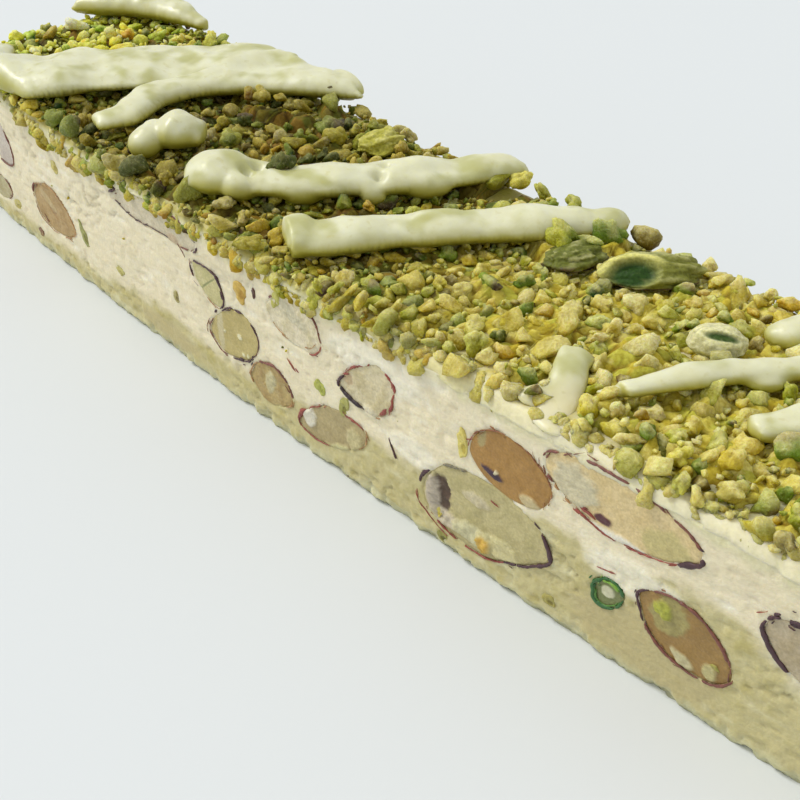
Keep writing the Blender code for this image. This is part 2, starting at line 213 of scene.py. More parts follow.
class Shader:
    """A Principled material, with short ways to add nodes to it."""

    def __init__(self, name, roughness, subsurface=0.0, depth=1.0, radius=(1, 0.8, 0.45)):
        self.material = bpy.data.materials.new(name)
        self.material.use_nodes = True
        self.tree = self.material.node_tree
        self.shader = self.tree.nodes["Principled BSDF"]
        self.set("Roughness", roughness)
        self.set("Subsurface Weight", subsurface)
        self.set("Subsurface Radius", radius)
        self.set("Subsurface Scale", depth * MM)
        self.place = self.node("ShaderNodeTexCoord").outputs["Object"]

    def set(self, socket, value):
        """Sets a plain value of the Principled node."""
        self.shader.inputs[socket].default_value = value

    def node(self, kind, links=(), **values):
        """A new node with sockets fed from links and properties from values."""
        made = self.tree.nodes.new(kind)
        for key, value in values.items():
            setattr(made, key, value)
        for socket, source in dict(links).items():
            self.feed(made.inputs[socket], source)
        return made

    def feed(self, socket, source):
        """Links a socket to another one, or gives it a value."""
        if isinstance(source, bpy.types.NodeSocket):
            self.tree.links.new(source, socket)
        else:
            socket.default_value = source

    def noise(self, size, detail=3.0, stretch=(1, 1, 1)):
        """Noise with lumps of the given size in millimetres, from 0 to 1."""
        scaled = {0: self.place, 1: tuple(1 / (size * MM * value) for value in stretch)}
        place = self.node("ShaderNodeVectorMath", scaled, operation="MULTIPLY").outputs[0]
        links = {"Vector": place, "Scale": 1.0, "Detail": detail}
        return self.node("ShaderNodeTexNoise", links).outputs["Fac"]

    def ramp(self, value, low, high, start=0.0, end=1.0):
        """Value from low..high spread over start..end, held there."""
        links = {"Value": value, "From Min": low, "From Max": high, "To Min": start, "To Max": end}
        return self.node("ShaderNodeMapRange", links).outputs["Result"]

    def math(self, operation, first, second):
        """Two values added, multiplied or the like."""
        return self.node("ShaderNodeMath", {0: first, 1: second}, operation=operation).outputs[0]

    def mix(self, factor, first, second, blend="MIX"):
        """Two colours mixed; each is a socket or an sRGB colour."""
        made = self.node("ShaderNodeMix", {"Factor": factor}, data_type="RGBA", blend_type=blend)
        for socket, colour in ((made.inputs[6], first), (made.inputs[7], second)):
            is_socket = isinstance(colour, bpy.types.NodeSocket)
            self.feed(socket, colour if is_socket else (*linear(colour), 1))
        return made.outputs[2]

    def shades(self, value, dark, light=CLEAR):
        """From a dark colour to a light one over the middle of a noise."""
        return self.mix(self.ramp(value, 0.3, 0.7), dark, light)

    def tinted(self, shade):
        """The mesh's own tint, multiplied by a shade."""
        tint = self.node("ShaderNodeAttribute", attribute_name="tint").outputs["Color"]
        return self.mix(1.0, tint, shade, "MULTIPLY")

    def colour(self, source):
        """Sets the surface's colour."""
        self.feed(self.shader.inputs["Base Color"], source)

    def rough(self, source):
        """Sets how dull the surface is."""
        self.feed(self.shader.inputs["Roughness"], source)

    def bump(self, height, depth):
        """Fine relief of the given depth in millimetres."""
        links = {"Height": height, "Distance": depth * MM, "Strength": 1.0}
        self.feed(self.shader.inputs["Normal"], self.node("ShaderNodeBump", links).outputs[0])

# --------------------------------------------------------------------------- meshes


def set_tint(mesh, tint):
    """Gives each vertex its linear colour, which the materials read."""
    layer = mesh.attributes.new("tint", "FLOAT_COLOR", "POINT")
    rgba = np.concatenate([np.clip(tint, 0, 1), np.ones((len(tint), 1))], 1)
    layer.data.foreach_set("color", rgba.astype(np.float32).ravel())


def new_object(name, points, faces, material, tint=None):
    """A smooth mesh object from points in metres. faces is an array, or a list of arrays, of
    vertex numbers."""
    arrays = faces if isinstance(faces, list) else [faces]
    sizes = np.concatenate([np.full(len(a), a.shape[1]) for a in arrays])
    loops = np.concatenate([a.ravel() for a in arrays]).astype(np.int32)
    mesh = bpy.data.meshes.new(name)
    mesh.vertices.add(len(points))
    mesh.vertices.foreach_set("co", np.asarray(points, np.float32).ravel())
    mesh.loops.add(len(loops))
    mesh.loops.foreach_set("vertex_index", loops)
    mesh.polygons.add(len(sizes))
    starts = np.concatenate([[0], np.cumsum(sizes)[:-1]]).astype(np.int32)
    mesh.polygons.foreach_set("loop_start", starts)
    mesh.update(calc_edges=True)
    mesh.polygons.foreach_set("use_smooth", np.ones(len(sizes), bool))
    if tint is not None:
        set_tint(mesh, tint)
    mesh.materials.append(material)
    made = bpy.data.objects.new(name, mesh)
    bpy.context.scene.collection.objects.link(made)
    return made


def as_piece(thing, slot, *nodes):
    """Puts an object on the bar's body, in place of some nodes. slot is not used."""
    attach(thing, ROOT)
    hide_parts(*nodes)


class Heap:
    """Meshes with vertex tints gathered into one."""

    def __init__(self):
        self.points, self.faces, self.tints, self.count = [], [], [], 0

    def add(self, points, faces, tint):
        """Adds a mesh: points in millimetres of the straight bar, an array of faces or a list of
        such arrays, and one colour or one for each point."""
        self.points.append(points)
        self.faces += [array + self.count for array in (faces if isinstance(faces, list) else [faces])]
        self.tints.append(np.broadcast_to(tint, points.shape))
        self.count += len(points)

    def build(self, name, material):
        """One object of all that was added."""
        by_size = {}
        for array in self.faces:
            by_size.setdefault(array.shape[1], []).append(array)
        faces = [np.concatenate(arrays) for arrays in by_size.values()]
        points = np.concatenate(self.points)
        return new_object(name, settle(points), faces, material, np.concatenate(self.tints))


def grid(rows, columns):
    """The row and the column of each cell of a grid, row by row."""
    return (numbers.ravel() for numbers in np.meshgrid(np.arange(rows), np.arange(columns), indexing="ij"))


def tube(rings, around):
    """Quads of a tube whose points are numbered ring by ring."""
    ring, at = grid(rings - 1, around)
    after = (at + 1) % around
    ring = ring * around
    return np.stack([ring + at, ring + after, ring + around + after, ring + around + at], -1)


def farthest(points):
    """The two of some points in a plane that are farthest apart, and how far."""
    gaps = np.linalg.norm(points[:, None] - points[None], axis=-1)
    first, second = np.unravel_index(gaps.argmax(), gaps.shape)
    return points[first], points[second], gaps.max()


def closed_box(counts):
    """Surface of a box of cells: its sides in quads, its bottom and top as one face each.
    Gives points from 0 to 1 on each axis and a list of face arrays."""
    nx, ny, nz = counts

    def key(i, j, k):
        """Number of the point at step i, j, k."""
        return (i * (ny + 1) + j) * (nz + 1) + k

    def side(place, n, flip):
        """Quads of a side n cells long, whose points place() numbers."""
        a, b = grid(n, nz)
        quad = np.stack([place(a, b), place(a + 1, b), place(a + 1, b + 1), place(a, b + 1)], 1)
        return quad[:, ::-1] if flip else quad

    quads = [side(lambda a, b: key(a, 0, b), nx, False), side(lambda a, b: key(a, ny, b), nx, True),
             side(lambda a, b: key(0, a, b), ny, True), side(lambda a, b: key(nx, a, b), ny, False)]
    ring = [(i, 0) for i in range(nx)] + [(nx, j) for j in range(ny)]
    ring += [(i, ny) for i in range(nx, 0, -1)] + [(0, j) for j in range(ny, 0, -1)]
    i, j = np.array(ring).T
    caps = [key(i, j, 0)[None, ::-1], key(i, j, nz)[None]]
    quads = np.concatenate(quads)
    used, numbers = np.unique(quads, return_inverse=True)
    faces = [numbers.reshape(-1, 4)] + [np.searchsorted(used, cap) for cap in caps]
    points = [used // ((ny + 1) * (nz + 1)), used // (nz + 1) % (ny + 1), used % (nz + 1)]
    return np.stack(points, -1) / counts, faces


def ball(level):
    """Points and triangles of a unit sphere made of 20 * 4 ** (level - 1) triangles."""
    mesh = bmesh.new()
    bmesh.ops.create_icosphere(mesh, subdivisions=level, radius=1)
    points = np.array([vert.co for vert in mesh.verts])
    faces = np.array([[vert.index for vert in face.verts] for face in mesh.faces])
    mesh.free()
    return points, faces


BALLS = {level: ball(level) for level in (1, 2, 3)}

# --------------------------------------------------------------------------- cut faces
# A face's own coordinates are (s, z): s runs along it to the viewer's right, z up.

FACES = {"front": (0, 1, -1), "back": (0, 1, 1), "near": (1, 0, 1), "far": (1, 0, -1)}
RIGHTWARD = {"front": 1, "back": -1, "near": 1, "far": -1}


def on_face(face, s, z, out):
    """Points of the straight bar from a face's own coordinates, out millimetres proud of it."""
    along, across, side = FACES[face]
    edge = HALF_WIDTH if across == 1 else HALF_LENGTH
    points = np.zeros(np.broadcast(s, z, out).shape + (3,))
    points[..., along] = s * RIGHTWARD[face]
    points[..., across] = side * (edge + out)
    points[..., 2] = z
    return points


# How a nut's cut differs from its node's plain oval: its middle's place along and up the nut from
# the node's, its half axes, and how far its edge bulges beyond that oval at every CORNER degrees
# from its right end on, as shares. Millimetres.
CORNER = 30
FORMS = {
    "almond_front_03": ((-0.5, -0.6, 6.8, 4.9),
        (0.89, 1.17, 1.09, 1.01, 0.95, 0.87, 1.01, 1.05, 1.1, 0.84, 0.7, 0.7)),
    "almond_front_04": ((1.2, 2.4, 12.0, 2.9),
        (0.98, 1.07, 1.16, 0.91, 0.84, 0.79, 0.85, 1.15, 1.12, 0.76, 0.7, 0.96)),
    "almond_front_05": ((1.2, -0.2, 2.9, 4.2),
        (1.02, 0.81, 0.71, 0.8, 1.16, 1.11, 0.94, 0.82, 0.84, 0.93, 0.99, 1.01)),
    "almond_front_06": ((-0.8, 1.0, 6.0, 4.7),
        (0.96, 1.1, 1.1, 0.91, 0.71, 0.72, 0.85, 1.17, 1.15, 0.93, 0.86, 0.85)),
    "almond_front_07": ((-1.0, 0.1, 4.9, 3.8),
        (0.89, 0.96, 1.02, 0.98, 0.87, 0.89, 0.95, 1.13, 1.1, 1.0, 0.78, 0.76)),
    "almond_front_08": ((0.1, 0.3, 7.2, 3.4),
        (1.01, 1.16, 1.07, 0.94, 0.75, 0.73, 0.89, 1.16, 1.16, 0.97, 0.9, 0.9)),
    "almond_front_09": ((-0.2, 0.7, 5.7, 3.9),
        (1.02, 1.05, 1.15, 0.94, 0.88, 0.82, 0.91, 1.12, 1.11, 0.95, 0.87, 0.96)),
    "almond_front_10": ((0.1, 1.2, 5.6, 4.0),
        (0.93, 1.16, 1.15, 0.7, 0.6, 0.58, 0.7, 1.1, 1.05, 1.02, 1.06, 0.96)),
    "almond_front_11": ((0.3, 0.8, 10.9, 6.0),
        (1.02, 1.01, 1.01, 1.01, 1.0, 0.93, 0.97, 1.05, 1.06, 1.0, 0.82, 0.85)),
    "almond_front_12": ((0.1, -0.1, 6.2, 4.3),
        (1.01, 1.08, 1.07, 1.02, 1.02, 0.97, 1.02, 1.14, 1.11, 1.01, 0.97, 0.99)),
    "almond_front_13": ((-0.5, 0.7, 10.7, 4.2),
        (1.02, 1.04, 1.01, 1.02, 1.1, 1.07, 0.98, 0.91, 0.91, 1.01, 0.91, 0.9)),
    "almond_front_14": ((-0.1, -0.1, 6.8, 4.2),
        (1.01, 0.93, 0.94, 1.02, 0.98, 0.94, 1.01, 0.92, 0.96, 1.02, 0.99, 0.99)),
    "almond_front_15": ((0, 0, 7.0, 3.7),
        (1.0, 0.9, 0.97, 1.04, 1.06, 1.05, 1.0, 0.96, 0.96, 1.0, 0.92, 0.9)),
    "pistachio_front_01": ((-0.1, -0.4, 2.3, 2.2),
        (1.02, 1.13, 1.11, 1.01, 0.91, 0.95, 0.97, 1.18, 1.12, 0.97, 0.87, 0.85)),
}


class Nut:
    """An almond or kernel of the frame that a face cuts: its outline there is an oval with centre
    (s, z), half axes a and b, and its long axis turned. FORMS tells some ovals' shapes; the others
    narrow to the right."""

    def __init__(self, name, face):
        self.name, self.face = name, face
        along, across, side = FACES[face]
        points = straighten(node_points(name)) if across == 1 else node_points(name)
        rim = points[points[:, across] * side > (points[:, across] * side).max() - 0.05]
        rim = np.stack([rim[:, along] * RIGHTWARD[face], rim[:, 2]], -1)
        first, second, _ = farthest(rim)
        axis = second - first
        if abs(axis[0]) < abs(axis[1]):
            axis = np.array([axis[1], -axis[0]])
        self.along = axis / np.linalg.norm(axis) * np.sign(axis[0])
        self.up = np.array([-self.along[1], self.along[0]])
        spans = [(rim @ way).max() - (rim @ way).min() for way in (self.along, self.up)]
        middles = [((rim @ way).max() + (rim @ way).min()) / 2 for way in (self.along, self.up)]
        self.centre = middles[0] * self.along + middles[1] * self.up
        self.a, self.b = (span / 2 for span in spans)
        self.seed = sum(map(ord, name))
        self.edge, self.shift = None, (0, 0)
        if name in FORMS:
            (u, v, self.a, self.b), self.edge = FORMS[name]
            self.shift = u, v
            self.centre = self.centre + u * self.along + v * self.up

    def local(self, s, z):
        """A face's coordinates as ones along and across the nut, in millimetres."""
        away = np.stack([s - self.centre[0], z - self.centre[1]], -1)
        return away @ self.along, away @ self.up

    def place(self, u, v, out):
        """Points of the straight bar from ones along and across the nut."""
        flat = u[..., None] * self.along + v[..., None] * self.up + self.centre
        return on_face(self.face, flat[..., 0], flat[..., 1], out)

    def outline(self, turn):
        """The outline's point at each turn, in radians: 0 at the right end, a quarter at the top."""
        wobble = np.stack([np.cos(turn) * 1.3, np.sin(turn) * 1.3, turn * 0 + self.seed], -1)
        if self.edge is None:
            grown = 1 + 0.05 * layered(wobble, 1.0, 2, self.seed)
            return np.cos(turn) * self.a * grown, np.sin(turn) * self.b * grown * (1 - 0.1 * np.cos(turn))
        edge = np.array(self.edge)
        at = np.degrees(turn) / CORNER % len(edge)
        low = np.floor(at).astype(int) % len(edge)
        share = step(0, 1, at - np.floor(at)) * 0.5 + (at - np.floor(at)) * 0.5
        grown = edge[low] * (1 - share) + edge[(low + 1) % len(edge)] * share
        grown = grown * (1 + 0.03 * layered(wobble, 0.5, 2, self.seed))
        return np.cos(turn) * self.a * grown, np.sin(turn) * self.b * grown

    def inside(self, s, z):
        """How deep in the outline a face's point is: 0 at its centre and 1 on the outline."""
        u, v = self.local(s, z)
        turn = np.arctan2(v / self.b, u / self.a)
        rim_u, rim_v = self.outline(turn)
        return np.hypot(u, v) / np.hypot(rim_u, rim_v)


def find_nuts():
    """The frame's nuts that lie in a cut face."""
    found = []
    for name in sorted(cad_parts):
        kind, _, place = name.partition("_")
        face = place.partition("_")[0]
        if kind in ("almond", "pistachio") and face in FACES:
            found.append(Nut(name, face))
    return found


NUTS = find_nuts()

# --------------------------------------------------------------------------- nougat

BODY_CELLS = (520, 100, 68)    # along, across and up
NEAR_FINER = 0.25              # how much finer the cells get towards the near end
BODY_TOP = NOUGAT_HEIGHT + 0.1

WHITE = linear((240, 228, 194))
WHITE_GREY = linear((224, 212, 176))
WHITE_BRIGHT = linear((247, 240, 216))
GREEN = linear((205, 194, 141))
GREEN_DEEP = linear((190, 178, 114))
GREEN_PALE = linear((222, 215, 172))
CREAM = linear((196, 182, 132))
CRUST = linear((206, 205, 166))
COAT_NEAR = linear((230, 222, 176))
COAT_NEAR_DULL = COAT_NEAR * (0.94, 0.97, 0.86)
SPECK = linear((120, 92, 60))

# smooth patches of the green layer's cream where the cut has smeared it: x, z, half sizes
CREAM_PATCHES = [(58, 5.5, 11, 5.5), (-34, 3.6, 9, 2.2)]
# torn places that show bright nougat: x, z, half sizes
BRIGHT_PATCHES = [(21, 12.6, 4.2, 2.2), (56, 14.2, 7, 2.6), (14, 22, 9, 3)]
STAIN_X, STAIN_HALF = 42, 22   # where the green is smeared up the front face,
STAIN_RISE, STAIN_DEPTH = 1.4, 8     # how high, and how far into the bar, millimetres
TEAR_WIDTH = 0.05              # of the tears in the cut faces, as a share of their noise's height,
TEAR_DEPTH = 0.4               # and how deep they are, millimetres
HOLLOW_DEPTH, BIT_HOLLOW_DEPTH = 1.3, 0.5      # of the nougat behind a nut and a bit, millimetres
MOST_RELIEF = 0.35             # that the cut faces stand out, millimetres


def spot(x, z, centre_x, centre_z, half_x, half_z, points, seed):
    """1 inside a ragged patch of a face and 0 outside."""
    away = np.hypot((x - centre_x) / half_x, (z - centre_z) / half_z)
    return 1 - step(0.75, 1.15, away + 0.25 * layered(points, 2.5, 3, seed))


def tears(points):
    """How torn the nougat is at points of the straight bar, from 0 to 1: thin creases here and there."""
    crease = bell(layered(points, (4.0, 4.0, 2.0), 3, 13), TEAR_WIDTH)
    return crease * step(0.12, 0.5, layered(points, (9, 9, 6), 2, 14))


def green_share(points, ragged):
    """1 in the green layer and 0 in the white one, with a ragged seam and the stain above it."""
    x, y, z = points.T
    stain = STAIN_RISE * bell(x - STAIN_X, STAIN_HALF) * (1 - step(-HALF_WIDTH, -HALF_WIDTH + STAIN_DEPTH, y))
    return 1 - step(-1.1, 1.3, z - seam_height(x, y) - stain + 1.6 * ragged)


def layer_looks(points, green):
    """Relief and colour of the two layers, without what lies on them, and their noises."""
    streaks = layered(points, (6.5, 6.5, 1.1), 4, 3)
    lumps = layered(points, 3.4, 4, 4)
    grain = layered(points, 1.1, 3, 5)
    pits = step(0.42, 0.75, noise(points, (1.5, 1.5, 0.9), 6) + 0.25 * grain)
    dents = step(0.35, 0.8, layered(points, (4.4, 4.4, 2.4), 3, 7))
    white_relief = 0.13 * streaks + 0.12 * lumps + 0.05 * grain - 0.22 * pits - 0.16 * dents
    crumbly = layered(points, 0.8, 2, 12)
    green_relief = 0.16 * lumps + 0.16 * grain + 0.13 * crumbly + 0.05 * streaks - 0.32 * pits
    torn = tears(points)
    relief = white_relief * (1 - green) + green_relief * green - TEAR_DEPTH * torn

    pale = mix(WHITE, WHITE_GREY, step(-0.1, 0.75, streaks * 0.6 + lumps * 0.6))
    pale = mix(pale, WHITE_BRIGHT, step(0.15, 0.7, -streaks * 0.7 - lumps * 0.5 + 0.2 * grain))
    deep = mix(GREEN, GREEN_DEEP, step(-0.05, 0.6, lumps * 0.7 + grain * 0.5))
    deep = mix(deep, GREEN_PALE, step(0.1, 0.6, -lumps * 0.6 + streaks * 0.6))
    # painted shade: the colour is darker along the tears' creases
    tint = mix(pale, deep, green) * (1 - 0.14 * torn)[:, None]
    return relief, tint, streaks, lumps, grain


def nougat_looks(points):
    """Relief in millimetres and colour of the nougat's cut faces at points of the straight bar."""
    x, y, z = points.T
    ragged = 1.1 * layered(points, (7, 7, 2.6), 4, 1) + 0.5 * layered(points, 1.6, 3, 2)
    green = green_share(points, ragged)
    relief, tint, streaks, lumps, grain = layer_looks(points, green)
    on_front = y < -HALF_WIDTH + 0.1
    for seed, patch in enumerate(CREAM_PATCHES, 20):
        held = spot(x, z, *patch, points, seed) * on_front * (0.3 + 0.7 * green)
        tint = mix(tint, CREAM, 0.85 * held)
        relief = relief * (1 - 0.8 * held)
    for seed, patch in enumerate(BRIGHT_PATCHES, 30):
        held = spot(x, z, *patch, points, seed) * on_front
        tint = mix(tint, WHITE_BRIGHT, 0.8 * held)
        relief = relief + 0.12 * held * (1 + streaks)
    under_coat = step(-2.6, 0.4, z - NOUGAT_HEIGHT + 1.3 * ragged)
    tint = mix(tint, mix(COAT_NEAR, COAT_NEAR_DULL, step(-0.3, 0.5, grain)), 0.8 * under_coat)
    relief = relief + 0.18 * under_coat * (0.5 + lumps)
    crust = (1 - step(0.5, 2.4, z + 0.8 * grain)) * (0.4 + 0.6 * green)
    tint = mix(tint, CRUST, 0.7 * crust)
    relief = relief + crust * (0.42 * grain + 0.34 * noise(points, 2.1, 8) - 0.02)
    specks = step(0.7, 0.85, noise(points, 0.9, 9)) * step(0.1, 0.5, noise(points, 9, 10))
    return relief, mix(tint, SPECK, 0.3 * specks)


def sink_hollows(points, relief):
    """Sinks the cut faces where a nut or a bit lies."""
    for nut in NUTS + BIT_CUTS:
        along, across, side = FACES[nut.face]
        edge = HALF_WIDTH if across == 1 else HALF_LENGTH
        s, z = points[:, along] * RIGHTWARD[nut.face], points[:, 2]
        reach = max(nut.a, nut.b) * 1.4
        near = (points[:, across] * side > edge - 0.01)
        near &= (np.abs(s - nut.centre[0]) < reach) & (np.abs(z - nut.centre[1]) < reach)
        rim = (1 - nut.inside(s[near], z[near])) * min(nut.a, nut.b)
        relief[near] -= (HOLLOW_DEPTH if nut in NUTS else BIT_HOLLOW_DEPTH) * step(0.0, 0.45, rim)
        relief[near] *= 1 - 0.5 * bell(rim, 0.8)


def nougat_material():
    """Dull, streaky nougat."""
    look = Shader("nougat", 0.62, subsurface=0.35, depth=1.6)
    fine = look.noise(0.5, 4)
    streak = look.noise(1.4, 4, stretch=(2.6, 2.6, 0.7))
    shade = look.shades(fine, (238, 238, 236))
    shade = look.mix(look.ramp(streak, 0.35, 0.65, 0.0, 0.5), shade, (255, 254, 250))
    look.colour(look.tinted(shade))
    look.rough(look.ramp(streak, 0.3, 0.7, 0.5, 0.72))
    look.bump(look.math("ADD", fine, streak), 0.12)
    return look.material


def add_nougat():
    """The two layers of nougat in one mesh, with hollows for the nuts and worn edges."""
    unit, faces = closed_box(BODY_CELLS)
    u, v, w = unit.T
    x = HALF_LENGTH * (2 * u * (1 + NEAR_FINER - NEAR_FINER * u) - 1)
    points = np.stack([x, (2 * v - 1) * HALF_WIDTH, w * BODY_TOP], -1)
    relief, tint = nougat_looks(points)
    sink_hollows(points, relief)
    from_corner = np.hypot(HALF_LENGTH - np.abs(points[:, 0]), HALF_WIDTH - np.abs(points[:, 1]))
    relief -= 0.35 * bell(from_corner, 0.7)
    relief -= 0.55 * (1 - step(0, 1.3, points[:, 2])) * (1 + 0.5 * noise(points, 2.2, 11))
    relief = np.minimum(relief, MOST_RELIEF)
    points[:, 0] += relief * ((u == 1) * 1.0 - (u == 0))
    points[:, 1] += relief * ((v == 1) * 1.0 - (v == 0))
    body = new_object("nougat", settle(points), faces, nougat_material(), tint)
    as_piece(body, "white_nougat", "nougat_white", "nougat_pistachio")

# --------------------------------------------------------------------------- almonds

SKIN = (104, 62, 52)
SKIN_DARK = (62, 38, 44)
SKIN_RED = (124, 58, 48)
SKIN_TAN = (150, 112, 74)
